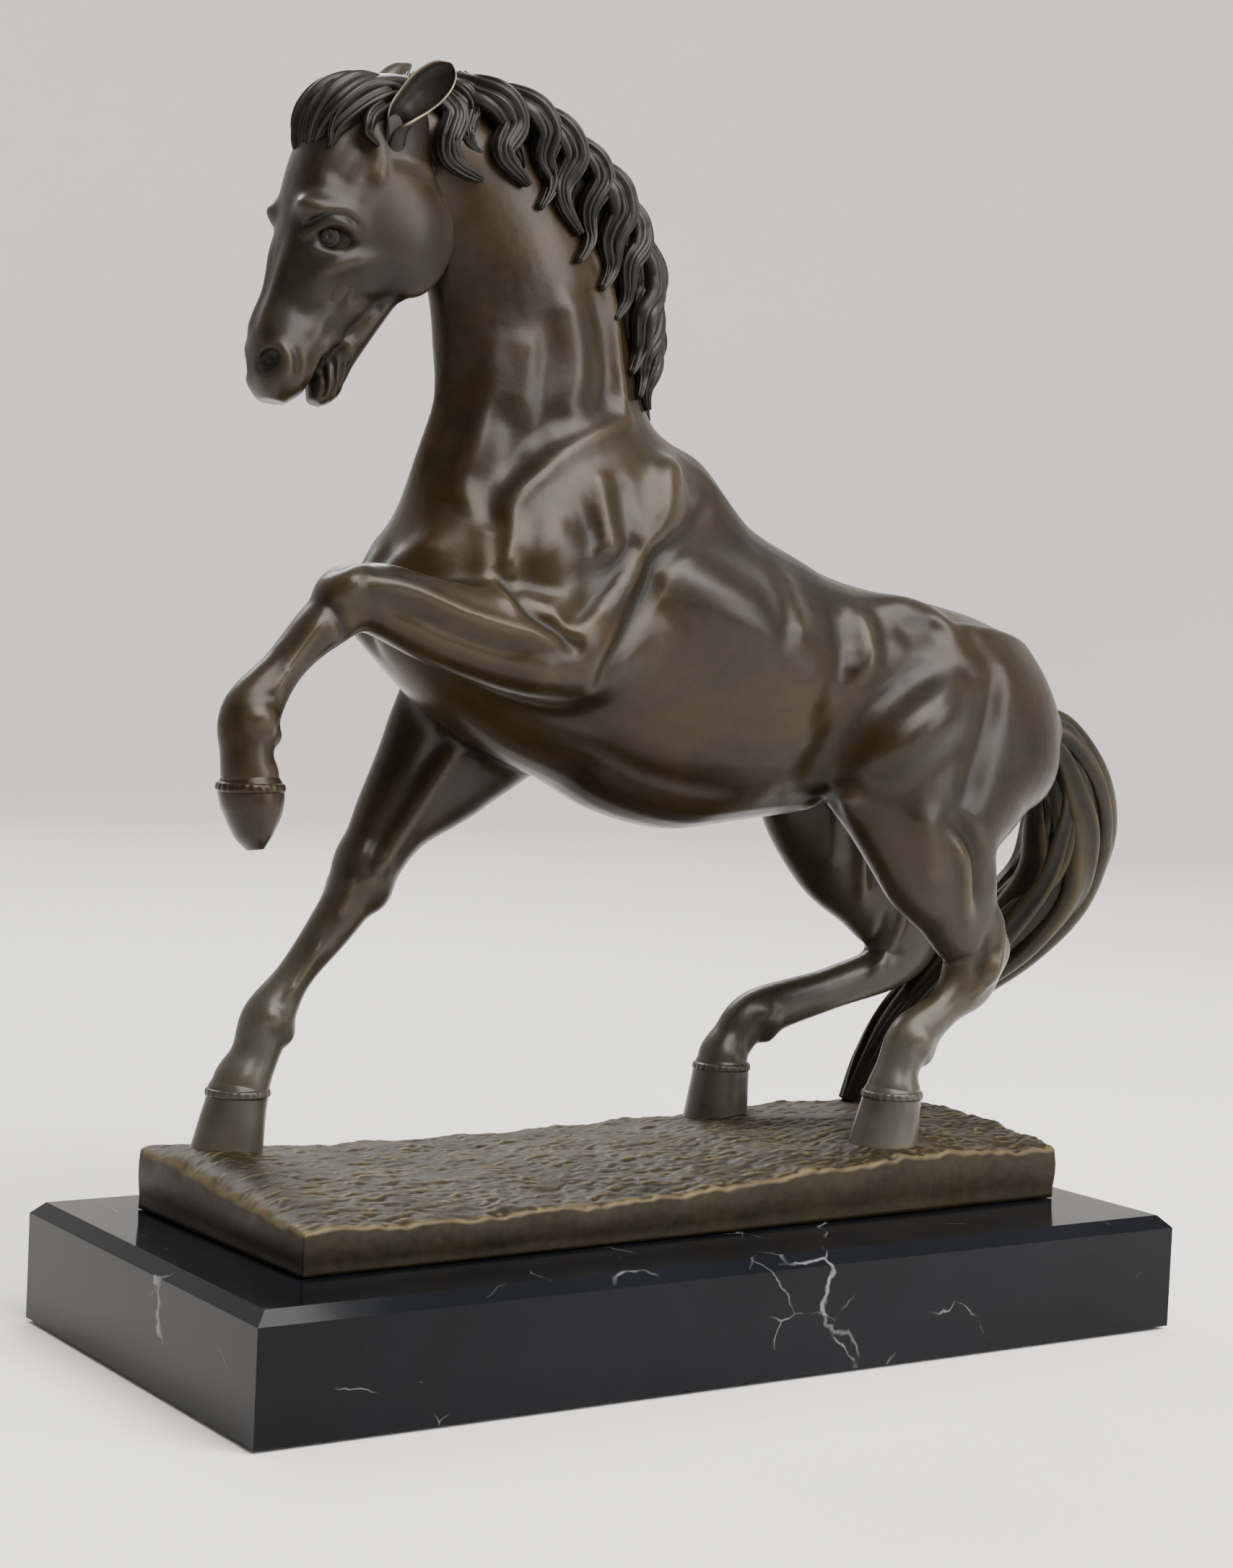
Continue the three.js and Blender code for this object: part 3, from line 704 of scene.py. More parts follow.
# Muscles laid on both sides as tilted ellipsoids: centre, radii, how far they melt in, tilt.
MASSES = [
    ((-44, 19, 191.5), (9.5, 8.5, 10.5), 3.5, 0),
    ((-29, 23, 185.5), (12.5, 6.5, 5.5), 3.5, 46),
    ((-12, 17, 206), (6, 5.5, 13), 5, -25),
    ((64, 28.5, 155.5), (18.5, 10, 10.5), 4.5, 38),
    ((102, 15.5, 149), (17, 13, 14.5), 8, 32),
    ((92, 16, 165), (15, 11.5, 14), 7, 0),
    ((68, 15.5, 181.5), (14, 8.5, 6.5), 5, -8),
    ((8, 20, 182), (22, 10, 10), 8, -22),
]
# The poll and the bony lumps and tendons of the legs, as ellipsoids: centre, radii, how far they melt in.
KNOBS = [
    ((-67.3, 22, 115.5), (5.6, 6.9, 7.5), 4), ((-63, 22, 110), (4, 4.5, 5), 4),
    ((-70, 0, 289.5), (9, 10, 9.4), 3),
    ((-91.5, 18.8, 79.5), (3.4, 3.2, 3.6), 1.5), ((-91.5, 25.2, 79.5), (3.4, 3.2, 3.6), 1.5),
    ((-86, 22, 75.5), (2.8, 3, 3.2), 2),
    ((-100.5, -24.5, 182), (5, 6.8, 4.6), 2.5), ((-122, -30, 153), (4.5, 3.2, 3.8), 1.5),
    ((-117, -26.5, 149.5), (2.4, 3, 2.8), 1.2),
    ((97, -26, 97), (5.5, 5, 6), 2.5), ((93, -30.5, 93), (4, 2.5, 4.5), 1.5),
    ((71.5, -29, 74), (4.4, 3.4, 4), 1.5), ((75.5, -26, 70.5), (3, 3, 3.6), 3),
    ((113, 24, 94), (5.5, 5, 6), 2.5), ((62, 24, 74), (4.4, 3.4, 4), 1.5), ((64, 27, 69.5), (3, 3, 3.6), 3),
]
# Each stroke: amount, width and path, then the part that it keeps to and its side, where it has them.
MUSCLES = [
    # neck
    (-1.2, 4.6, [(-60, 240), (-63, 228), (-66, 217), (-68, 206)], "neck"),
    (0.7, 3.4, [(-53, 247), (-54, 240), (-54.6, 232), (-57, 224), (-60, 217), (-62.5, 211), (-62, 205),
                (-59, 199)]),
    (-1.0, 5.0, [(-50, 223), (-50, 216)], "neck"),
    (0.6, 4.5, [(-47, 242), (-49, 231)], "neck"),
    (-0.6, 3.6, [(-42, 252), (-40.7, 240), (-43.4, 224), (-44, 216)], "neck"),
    (1.0, 5.5, [(-35, 252), (-33, 242), (-34, 230)], "neck"),
    (-0.8, 3.2, [(-30, 262), (-25, 250), (-23.5, 238), (-24, 227)], "neck"),
    (0.8, 2.2, [(-28, 270), (-22, 263), (-19.6, 253), (-19, 244), (-18, 235), (-18, 226)], "neck"),
    # shoulder
    (-1.0, 4.6, [(-15, 234), (-26, 231), (-37, 226.5), (-47, 219.5), (-56, 209), (-59, 199), (-60, 190)]),
    (1.2, 2.8, [(-12, 229), (-22.6, 225), (-30, 222), (-37.6, 218), (-44.5, 212.7), (-50, 208),
                (-53, 203.5), (-54, 197.5), (-55.5, 191), (-55, 184)]),
    (0.8, 7.0, [(-18, 217), (-32, 212), (-44, 203)]),
    (-0.9, 3.4, [(-38, 209), (-35.5, 203), (-34.5, 197), (-34.5, 190)]),
    (0.8, 3.2, [(-31, 211), (-30.5, 203), (-30, 197)]),
    (-0.6, 3.6, [(-25, 210), (-25, 204), (-24, 198)]),
    (1.2, 4.2, [(-1, 223), (-9, 214), (-12.5, 206), (-17.5, 199)]),
    (-1.8, 3.5, [(10, 211), (4, 206.5), (-4, 201), (-12, 196.5), (-16, 192.5), (-18, 187.5), (-21.5, 182),
                 (-26.5, 175), (-31.5, 167), (-33, 160)]),
    (-1.5, 3.0, [(-21, 199), (-27, 193), (-33.5, 186), (-41, 180), (-47, 178)]),
    (0.9, 3.6, [(-59, 197), (-61, 187)]),
    (0.9, 2.8, [(-67, 200), (-71, 194), (-76, 188)]),
    # barrel
    (-0.8, 4.4, [(23, 196), (22, 182), (20, 172)]),
    (0.8, 4.4, [(28, 190), (27, 180)]),
    (-2.0, 7.0, [(42, 178), (41, 168), (38, 158)]),
    (-0.9, 5.0, [(-30, 152), (-16, 143), (2, 139), (20, 138)], "trunk"),
    # hip
    (1.2, 4.0, [(53, 190), (50.5, 182), (49.5, 173), (46, 165)]),
    (-0.7, 4.0, [(58, 186), (55, 176), (53, 169)]),
    (0.9, 3.4, [(57, 189), (66, 188), (75, 184.5), (81, 178)]),
    (-0.9, 4.5, [(64, 180), (71, 181)]),
    (-0.6, 4.0, [(83, 188), (84.5, 178), (89, 170)]),
]


def hind_strokes(side, x):
    """The strokes of one thigh and gaskin, which lies `x` mm further back than the left one."""
    limb = "left_hind" if side < 0 else "right_hind"
    drawn = [
        (-2.3, 6.5, [(80, 177), (70, 172.5), (58.5, 167), (49, 160), (43, 151.5), (37, 143), (32, 138)],
         None),
        (-1.3, 4.6, [(90, 176), (88, 166.5), (85.3, 156.5), (81, 147), (77.5, 139), (74, 132)], None),
        (-1.5, 2.8, [(71, 134), (77.5, 129), (82, 123), (84, 115), (86, 107)], limb),
        (0.9, 2.6, [(73, 128), (78, 120), (80, 112), (83, 104)], limb),
        (0.9, 2.6, [(89, 126), (91, 118), (93, 109)], limb),
        (1.0, 2.8, [(38, 139), (46, 138), (46, 134), (49, 130)], None),
        (1.0, 4.5, [(65, 131), (68, 119)], limb),
        (0.9, 1.9, [(94, 110), (96, 101), (93, 91), (87, 84)], limb),
        (-0.7, 1.6, [(90, 104), (90, 96), (87, 90)], limb),
    ]
    return [(amount, width, [(px + x, pz) for px, pz in path], part, side)
            for amount, width, path, part in drawn]


FORELEGS = [
    # raised foreleg
    (1.0, 2.2, [(-100, 184), (-92, 184.3), (-84, 183), (-76, 180), (-68, 177.5), (-60, 175.8),
                (-52, 174.5), (-45, 173)], "left_fore", -1),
    (-0.9, 2.6, [(-94, 179.5), (-84, 177.5), (-74, 174), (-64, 171.5), (-54, 170)], "left_fore", -1),
    (-1.5, 2.6, [(-58, 188), (-56, 182), (-51, 177.5), (-44, 173), (-40, 171)], None, -1),
    (0.8, 2.0, [(-61, 186), (-59, 181), (-55, 178)], None, -1),
    (1.4, 4.5, [(-62, 169), (-50, 165), (-40, 163)], "left_fore", -1),
    (1.0, 2.4, [(-100, 185), (-97, 188)], "left_fore", -1),
    (-0.7, 1.6, [(-104, 178), (-101, 173)], "left_fore", -1),
    (0.7, 1.4, [(-106, 177), (-113, 167), (-119, 158)], "left_fore", -1),
    # standing foreleg
    (1.0, 3.0, [(-38, 158), (-50, 141), (-60, 125), (-67, 114)], "right_fore"),
    (-0.8, 2.6, [(-43, 158), (-55, 141), (-64, 125), (-70, 113)], "right_fore"),
    (1.3, 4.5, [(-30, 160), (-38, 147)], "right_fore"),
    (0.8, 1.5, [(-72, 112), (-74, 106)], "right_fore"),
    (0.7, 1.3, [(-78, 98), (-84, 90), (-88, 84)], "right_fore"),
]
# Strokes on the chest, seen from the front.
CHEST = [
    (-1.6, 2.6, [(0, 196), (0, 182), (0, 166)]),
    (1.2, 4.5, [(-8, 190), (-9, 176)]),
    (1.2, 4.5, [(8, 190), (9, 176)]),
]


RIGHT_THIGH_BACK = 7  # how much further back the right thigh lies
NECK_FLOOR = 190  # the neck begins above this height
# How the limbs are parted: limb, upper parting and piece, lower parting and piece, and side.
PARTINGS = [
    ("left_fore", "left_arm", "left_forearm", "left_knee", "left_fore_shank", -1),
    ("right_fore", "right_arm", "right_forearm", "right_knee", "right_fore_shank", 1),
    ("left_hind", "stifles", "left_gaskin", "left_hock", "left_hind_shank", -1),
    ("right_hind", "stifles", "right_gaskin", "right_hock", "right_hind_shank", 1),
]


def make_body():
    """The trunk, the neck and the legs down to the hooves. Gives the clay, for the hair to lie on."""
    skin, clay = body_skin()
    thighs = hind_strokes(-1, 0) + hind_strokes(1, RIGHT_THIGH_BACK)
    for amount, width, path, *where in MUSCLES + thighs + FORELEGS:
        skin.stroke(RELIEF * amount, SPREAD * width, path, *where)
    for amount, width, path in CHEST:
        skin.stroke(amount, width, path, "trunk", view="front")
    skin.turn()
    skin.relax(2, 0.4)
    marks = skin.marks(*BODY_WEAR)
    middle = skin.points[skin.quads].mean(1)
    piece_of = np.full(len(middle), "torso", dtype=object)
    piece_of[beyond(middle, "neck") & (middle[:, 2] > NECK_FLOOR)] = "neck"
    for limb, top, upper, joint, lower, side in PARTINGS:
        here = (skin.on[limb][skin.quads].mean(1) > 0.5) & (middle[:, 1] * side > 0) & beyond(middle, top)
        piece_of[here] = upper
        piece_of[here & beyond(middle, joint)] = lower
    for name in sorted(set(piece_of)):
        cast_part(name, skin, piece_of == name, marks)
    return clay


# ---------------------------------------------------------------- the head
EYE = (-98.0, 7.6, 262.8)
EYE_RADIUS = 3.4
# Ellipsoids added to and cut from both sides of the head: centre, radii, how far they melt in, tilt, cut.
HEAD_BALLS = [
    ((-79.5, 5.6, 266.5), (14, 7.2, 15.5), 1.6, 0, False),  # cheek
    ((-98, 7.8, 267.8), (8, 4.2, 3.0), 3.4, -14, False),  # brow
    ((-98.0, 12.2, 262.4), (5.2, 3.8, 3.3), 1.4, -12, True),  # eye socket
    ((-106.0, 3.2, 234), (5.7, 5.4, 7.0), 3.0, 0, False),  # muzzle
    ((-111.6, 7.2, 233.2), (2.4, 4.6, 3.9), 0.7, -30, True),  # nostril
]
MOUTH_SLIT = ((-98.9, 0, 231.4), (1.25, 12, 6.4), 0.6, -16, True)
# Strokes on both sides of the head: amount, width and path.
FEATURES = [
    # brow, forehead and temple
    (0.5, 3.4, [(-106.5, 261.5), (-103, 265.2), (-98.5, 267.2), (-94.5, 269.5), (-91.8, 273), (-91, 278)]),
    (-1.0, 3.6, [(-97, 277), (-93, 283)]),
    (0.7, 2.4, [(-90, 289), (-88, 283), (-88, 278)]),
    # cheek plate
    (1.1, 1.9, [(-86, 281), (-79, 281.6), (-73, 280), (-69, 276), (-66.5, 270), (-66, 263), (-68, 257),
                (-73, 253), (-80, 250.5)]),
    # eyelids
    (0.8, 0.9, [(-104.6, 261.0), (-102.3, 263.6), (-99, 265.4), (-95.8, 265.2), (-92.6, 262.8)]),
    (0.45, 0.9, [(-103.8, 260.2), (-101, 259.2), (-97.5, 259.0), (-93.6, 261.2)]),
    (-0.8, 0.9, [(-104.5, 263.8), (-101, 266.7), (-96.5, 267.3), (-92.5, 265.8)]),
    # bridge of the nose and facial crest
    (0.8, 1.8, [(-105, 264), (-108, 254), (-110.5, 245), (-112, 239)]),
    (1.0, 2.2, [(-84, 259.5), (-91.5, 258), (-97, 256), (-102, 253)]),
    (-0.8, 3.2, [(-92, 252), (-98, 248.5), (-103, 245)]),
    # nostril rim, lips and the corner of the mouth
    (0.6, 1.4, [(-112, 238), (-109.2, 237.2), (-107.4, 234.3), (-107.6, 230.6), (-109, 228.4)]),
    (-0.6, 1.3, [(-106.5, 237), (-105, 233), (-105, 228.5)]),
    (0.8, 1.4, [(-101, 228), (-98.8, 234), (-96, 239), (-91.5, 240), (-88.5, 237)]),
    (-0.7, 3.0, [(-95, 251), (-95, 247), (-96, 243)]),
    (-0.7, 1.8, [(-90, 249.5), (-84, 249)]),
]
# Short grooves below the mouth that hint at teeth.
TEETH = [(-0.7, 0.5, [(-98 + 2.1 * i, 236), (-97.5 + 1.9 * i, 226)]) for i in range(5)]
# Where painted shade darkens the head, in the socket, the nostril and the mouth, under the ears and over the
# cheek and the face: centre on one side, reach and strength.
HEAD_SHADE_SPOTS = [
    ((-98.5, 9, 262.5), 7.5, 1.0), ((-111, 6, 233), 4.5, 1.0), ((-98.9, 3, 231.5), 5, 0.9),
    ((-95, 6, 244), 7, 0.7), ((-92, 5, 234), 9, 0.8), ((-80, 9, 290), 11, 1.0), ((-84, 10, 262), 16, 0.6),
    ((-104, 6, 250), 12, 0.5), ((-97, 4, 285), 12, 0.35), ((-106, 2, 240), 9, 0.3),
]
JAW_CEILING = 252  # the jaw reaches no higher than this
JAW_MELT = 1.2
HEAD_WEAR = (0.05, 0.6)


def make_head():
    """The head and the lower jaw, with the eyes in their sockets."""
    clay = Clay(*HEAD_BLOCK, HEAD_VOXEL)
    skull = clay.distances(loft(HEAD, around=64))
    jaw = clay.distances(loft(LOWER_JAW, around=48))
    clay.field = skull.copy()
    clay.fuse(jaw, JAW_MELT)
    for side in (-1, 1):
        for (x, y, z), radii, soft, tilt, cut in HEAD_BALLS:
            clay.ball((x, side * y, z), radii, soft, tilt, cut)
    clay.ball(*MOUTH_SLIT)
    skin = Skin(*clay.surface())
    skin.relax(3)
    at_skull, at_jaw = clay.sample(skull, skin.points), clay.sample(jaw, skin.points)
    for strokes in (FEATURES, TEETH):
        for stroke in strokes:
            skin.stroke(*stroke)
        skin.turn()
    skin.relax(1, 0.4)
    marks = skin.marks(*HEAD_WEAR)
    x, y, z = skin.points.T
    one_side = np.stack([x, np.abs(y), z], 1)
    # Painted shade is laid on the head's marks about each of these spots.
    for centre, reach, strength in HEAD_SHADE_SPOTS:
        away = np.linalg.norm(one_side - centre, axis=1)
        marks["hollow"] = np.maximum(marks["hollow"], strength * np.exp(-((away / reach) ** 2)))
    is_jaw = ((at_jaw < at_skull - 0.3) & (z < JAW_CEILING))[skin.quads].mean(1) > 0.5
    cast_part("head", skin, ~is_jaw, marks)
    cast_part("lower_jaw", skin, is_jaw, marks)
    for side, word in ((-1, "left"), (1, "right")):
        points, faces = eyeball(side)
        # The eyes are darkened all over as painted shade.
        eye_shade = {"hollow": np.full(len(points), 0.8), "ridge": np.zeros(len(points))}
        piece(word + "_eye", (stood(points), faces), BRONZE, slot="bronze", marks=eye_shade)


def eyeball(side, around=40, rings=60):
    """A cast eye: a ball with a raised iris and a drilled pupil, looking out to one side."""
    look = unit(np.array([-0.42, side * 0.90, -0.06]))
    across = unit(np.cross(look, [0, 0, 1]))
    up = np.cross(across, look)
    tilt = np.linspace(0.03, np.pi - 0.03, rings)
    radius = 1 - 0.10 * np.exp(-((tilt / 0.16) ** 2)) + 0.03 * np.exp(-(((tilt - 0.42) / 0.10) ** 2))
    radius = EYE_RADIUS * (radius - 0.035 * np.exp(-(((tilt - 0.62) / 0.08) ** 2)))
    turn = np.linspace(0, 2 * np.pi, around, endpoint=False)
    centre = np.array([EYE[0], side * EYE[1], EYE[2]])
    round_about = np.cos(turn)[:, None] * across + np.sin(turn)[:, None] * up
    points = centre + round_about[None] * (radius * np.sin(tilt))[:, None, None]
    points = points + (radius * np.cos(tilt))[:, None, None] * look
    return tube(points, [centre + look * radius[0], centre - look * radius[-1]])


# ---------------------------------------------------------------- ears
def cup(stations, side, opening, wall=0.9, around=24):
    """A leaf-shaped cup, and its marks: a rubbed rim, and painted shade on its stalk and inside it.

    A station is [x, y, z, half breadth, depth, gape]; a gape of 1 is open. `opening` is where the cup faces.
    """
    rows = smoothed(stations, 8)
    centre = rows[:, :3] * [1, side, 1]
    along = unit(np.gradient(centre, axis=0))
    toward = np.array(opening) * [1, side, 1]
    face = unit(toward - along * (along @ toward)[:, None])
    broad = np.cross(along, face)
    half, depth, gape = (rows[:, i:i + 1] for i in (3, 4, 5))
    reach = np.pi / 2 + 0.06 + (1 - np.clip(gape, 0, 1)) * 1.5
    share = np.linspace(-1, 1, around)[None]
    angle = share * reach
    thick = wall * (0.35 + 0.65 * np.cos(share * np.pi / 2) ** 0.5)
    halves = []
    for inset, a in ((0 * thick, angle), (thick[:, ::-1], angle[:, ::-1])):
        w = np.maximum(half - inset, 0.05)
        d = np.maximum(depth - inset, 0.05)
        halves.append((np.sin(a) * w)[..., None] * broad[:, None]
                      - (np.cos(a) * d)[..., None] * face[:, None])
    rings = centre[:, None] + np.concatenate(halves, axis=1)
    opened = ease(0.3, 0.8, gape)
    lip = np.exp(-(((1 - np.abs(share)) / 0.10) ** 2)) * opened
    # The stalk's outside and the cup's inside are darkened as painted shade; the rim is rubbed.
    outside = np.broadcast_to(0.8 * (1 - opened), lip.shape)
    inside = np.full(lip.shape, 0.95)
    marks = {"ridge": np.append(np.concatenate([lip, lip], axis=1), [0, 1]),
             "hollow": np.append(np.concatenate([outside, inside], axis=1), [0, 0])}
    return tube(rings, rings[[0, -1]].mean(1)), marks


LEFT_EAR = [
    [-83.5, 9, 284, 3.4, 3.4, 0], [-84, 12, 288.5, 3.0, 3.0, 0.1], [-83.2, 14.2, 292.2, 3.6, 3.2, 0.8],
    [-80.8, 15.4, 295.4, 4.4, 3.8, 1], [-78.4, 16.3, 298.2, 4.8, 4.0, 1], [-76, 17.2, 301, 4.3, 3.4, 1],
    [-74.4, 17.9, 303, 2.9, 2.2, 1], [-73.5, 18.2, 304.2, 0.6, 0.5, 1],
]
RIGHT_EAR = [
    [-82, 7.5, 287, 3.4, 3.4, 0], [-80.8, 8.4, 293, 3.4, 3.4, 0.1], [-78.6, 9.0, 298, 3.8, 3.8, 0.75],
    [-75.4, 9.5, 302.5, 4.2, 3.8, 1], [-72.3, 9.9, 305.6, 3.4, 2.8, 1], [-69.8, 10.1, 307.6, 1.8, 1.4, 1],
    [-68.2, 10.2, 308.8, 0.4, 0.3, 1],
]


def make_ears():
    """The ears, as thin cups; the right one is wound the other way, so its faces are turned."""
    for name, stations, side, opening in (
        ("left_ear", LEFT_EAR, -1, (-0.56, 0.80, 0.2)),
        ("right_ear", RIGHT_EAR, 1, (-0.45, 0.88, 0.1)),
    ):
        (points, faces), marks = cup(stations, side, opening)
        if side > 0:
            faces = [f[:, ::-1] for f in faces]
        cast(name, (points, faces), EAR_BRONZE, marks=marks)


# ---------------------------------------------------------------- hair
def strand(path, up, width, thick, grooves=4, depth=0.16, around=18, steps=5, sweep=0.0):
    """A lock of hair along a path: `up` is the way its back faces, and its section has shallow grooves."""
    rows = smoothed(np.hstack([path, up, np.array(width)[:, None], np.array(thick)[:, None]]), steps)
    at = rows[:, :3]
    along = unit(np.gradient(at, axis=0))
    back = unit(rows[:, 3:6] - along * np.einsum("ij,ij->i", rows[:, 3:6], along)[:, None])
    across = np.cross(along, back)
    angle = np.linspace(0, 2 * np.pi, around, endpoint=False)[None]
    share = np.linspace(0, 1, len(rows))[:, None]
    lobe = 1 + depth * np.cos(2 * grooves * angle + sweep * share)
    w, h = np.maximum(rows[:, 6:7], 0.12), np.maximum(rows[:, 7:8], 0.12)
    rings = at[:, None] + (np.cos(angle) * w * (0.9 + 0.1 * lobe))[..., None] * across[:, None]
    rings = rings + (np.sin(angle) * h * lobe)[..., None] * back[:, None]
    return tube(rings, at[[0, -1]])


HAIR = {"material": DARK_BRONZE, "slot": "dark_bronze", "wear": (0.22, 1.3)}
NECK_LINE = np.array(NECK)[:, [0, 2]]


def breadth(clay, field, x, z):
    """How far the surface stands off the median plane at each (x, z)."""
    i = np.clip(np.round((x - clay.low[0]) / clay.voxel).astype(int), 0, clay.shape[0] - 1)
    k = np.clip(np.round((z - clay.low[2]) / clay.voxel).astype(int), 0, clay.shape[2] - 1)
    y = clay.low[1] + np.arange(clay.shape[1]) * clay.voxel
    column = field[i, :, k]
    return np.where(column < 0, np.abs(y)[None], 0).max(1)


def fallen(clay, field, drawn, side, width, thick, grooves, lift, sweep):
    """A lock that lies on the neck, drawn in the side view from its root to its tip.

    `lift` is how far in mm it stands off what it lies on, and `sweep` how far its grooves turn about it.
    """
    rows = smoothed(drawn, 4)
    for _ in range(3):
        rows[1:-1] = (rows[:-2] + 2 * rows[1:-1] + rows[2:]) / 4
    x, z = rows.T
    y = breadth(clay, field, x, z)
    y = np.convolve(np.pad(y, 2, mode="edge"), np.ones(5) / 5, "valid")
    share = np.linspace(0, 1, len(rows))
    near = np.argmin(np.linalg.norm(rows[:, None] - NECK_LINE[None], axis=2), axis=1)
    away = unit(rows - NECK_LINE[near])
    flank = np.clip(y / 8, 0, 1)
    up = np.stack([away[:, 0] * (1 - flank), side * (0.15 + flank), away[:, 1] * (1 - flank)], 1)
    full = np.sin(np.pi * np.clip(0.3 + 0.64 * share, 0, 1)) ** 0.7 * (1 - 0.45 * share) + 0.02
    sunk = 1 - ease(0, 0.25, share)
    path = np.stack([x, side * ((y + lift + 0.5 * thick * (1 - share)) * (1 - 0.8 * sunk)), z], 1)
    path[:, [0, 2]] -= away * (1.6 * sunk)[:, None]
    return strand(path, unit(up), width * full, thick * (0.35 + full) * 0.8, grooves, 0.12 + 0.02 * grooves,
                  around=16 + 6 * grooves, steps=3, sweep=sweep)


# Locks of the mane in the side view, each root to tip, from the poll to the withers.
MANE_GUIDES = [
    [(-77, 303), (-71, 299.5), (-67.5, 294), (-70, 288.5), (-69.5, 284), (-65, 281.5), (-61, 280.5)],
    [(-64, 304.5), (-57, 300.5), (-52.5, 295), (-54.5, 289.5), (-52, 285), (-46.5, 281)],
    [(-55, 304), (-47.5, 300), (-43, 294), (-44.5, 288), (-41.5, 283), (-44.5, 276)],
    [(-46, 301), (-39, 296), (-35, 289.5), (-37.5, 283), (-37, 277), (-32.5, 271)],
    [(-37, 297), (-30, 291), (-27, 284.5), (-30, 278), (-28.5, 271), (-31.5, 265)],
    [(-29, 292), (-23, 285), (-21, 278), (-24.5, 271.5), (-23, 265), (-25.5, 259)],
    [(-21, 286), (-14, 278), (-12.5, 271), (-16.5, 265), (-15, 258), (-18.5, 252)],
    [(-14.5, 279), (-9, 270), (-9, 262), (-13, 256), (-12, 249), (-15, 243)],
    [(-9.5, 269), (-5.5, 259), (-6.5, 251), (-10, 245), (-9.5, 239), (-12, 234)],
    [(-6, 257), (-3.5, 248), (-5, 241), (-7.5, 236), (-7, 231)],
]
# The strands of one lock: how far aside of its middle, half breadth, height and grooves.
LOCK_STRANDS = ((0.0, 4.3, 2.7, 5), (-2.6, 1.9, 2.5, 1), (1.3, 1.7, 3.2, 1), (4.0, 1.6, 2.0, 1))
LOCKS_EACH_SIDE = 5  # the mane's pieces on one side, each of four guides
RIGHT_SHIFT = np.array([1.5, -0.8])  # how the right side's locks hang, so that the sides differ


def mane_guides():
    """Each drawn guide and, under it, one between it and the next, with their size and lift."""
    guides = []
    for one, two in zip(MANE_GUIDES, MANE_GUIDES[1:] + MANE_GUIDES[-1:]):
        count = min(len(one), len(two))
        between = (np.array(one[:count]) + two[:count]) / 2 + [0.8, 0.6]
        guides.append((np.array(one, float), 1.05, 1.3))
        guides.append((between[0] + (between - between[0]) * 0.75, 0.85, -0.6))
    return guides


def mane_lock(clay, field, guide, size, lift, side):
    """The strands of one lock. Its guide is bent a little, at random."""
    chord = guide[0] + (guide[-1] - guide[0]) * np.linspace(0, 1, len(guide))[:, None]
    guide = chord + rng.uniform(0.9, 1.35) * (guide - chord)
    guide[1:] += np.cumsum(rng.normal(0, 0.4, (len(guide) - 1, 2)), axis=0)
    size = size * rng.uniform(0.9, 1.2)
    if side > 0:
        guide = guide + RIGHT_SHIFT + rng.normal(0, 0.4, guide.shape)
    slant = unit(guide[-1] - guide[0])
    aside = np.array([-slant[1], slant[0]])
    gather = (1 - np.linspace(0, 1, len(guide)) ** 1.5)[:, None]
    for shift, width, thick, grooves in LOCK_STRANDS:
        drawn = guide + aside * shift * size * gather + rng.normal(0, 0.15, guide.shape)
        yield fallen(clay, field, drawn, side, width * size, thick * size, grooves,
                     lift + rng.uniform(0, 0.5), rng.uniform(-1, 1))


def make_mane(clay):
    """The crest, which stands on the neck, and five pieces of locks that fall from it on each side."""
    def grooved(angle, share):
        return 1 + 0.07 * np.cos(9 * angle + 6 * share) * np.sin(np.pi * np.clip(share, 0.02, 1)) ** 0.5

    cast("mane_crest", loft(MANE_CREST, around=72, steps=12, grow=-1.0, lobes=grooved), **HAIR)
    field = np.minimum(clay.field, clay.distances(loft(MANE_CREST)))
    for side, word in ((-1, "left"), (1, "right")):
        guides = mane_guides()
        for number in range(1, LOCKS_EACH_SIDE + 1):
            locks = []
            shrink = 0.75 if number == LOCKS_EACH_SIDE else 1.0
            for guide, size, lift in guides[4 * number - 4:4 * number]:
                locks += mane_lock(clay, field, guide, size * shrink, lift, side)
            points, faces = joined(locks)
            piece(f"{word}_mane_locks_{number}", (stood(points), faces),
                  nodes=[f"{word}_mane_lock_{number}"], **HAIR)


# The forehead that the forelock lies on, as an ellipsoid.
BROW_CENTRE = np.array([-86.0, 0.0, 285.0])
BROW_RADII = np.array([14.4, 12.6, 14.2])
# The forelock's near half and middle: half breadth, then each lock from its root to its tip.
FORELOCK_LOCKS = [
    (3.0, [(-70, -1.5, 302), (-88, -2.5, 302), (-98, -3, 296), (-104, -3, 288), (-106, -3.5, 279)]),
    (2.8, [(-71, -4, 302), (-88, -6.5, 299.5), (-97, -7.5, 293), (-102.5, -7, 286), (-104.5, -6, 279)]),
    (2.5, [(-78, -6, 300), (-87, -10, 296.5), (-94, -11, 291), (-99.5, -10, 286.5), (-103, -8.5, 281)]),
    (2.2, [(-80, -8, 298), (-86, -11.5, 294), (-91, -12.5, 290), (-92, -13, 286.5), (-88, -13.5, 284)]),
    (1.9, [(-71, -3, 303), (-89, -4.5, 301), (-98, -5.5, 294.5), (-103, -5.5, 286), (-103, -5, 281)]),
    (1.7, [(-78, -7, 299), (-87, -8.5, 298), (-95.5, -9.5, 292), (-100, -9.5, 286.5), (-100.5, -8.5, 283)]),
]
FAR_SHARE = -0.2  # where the far half's locks lie, as a share of how far to the side the near half's do


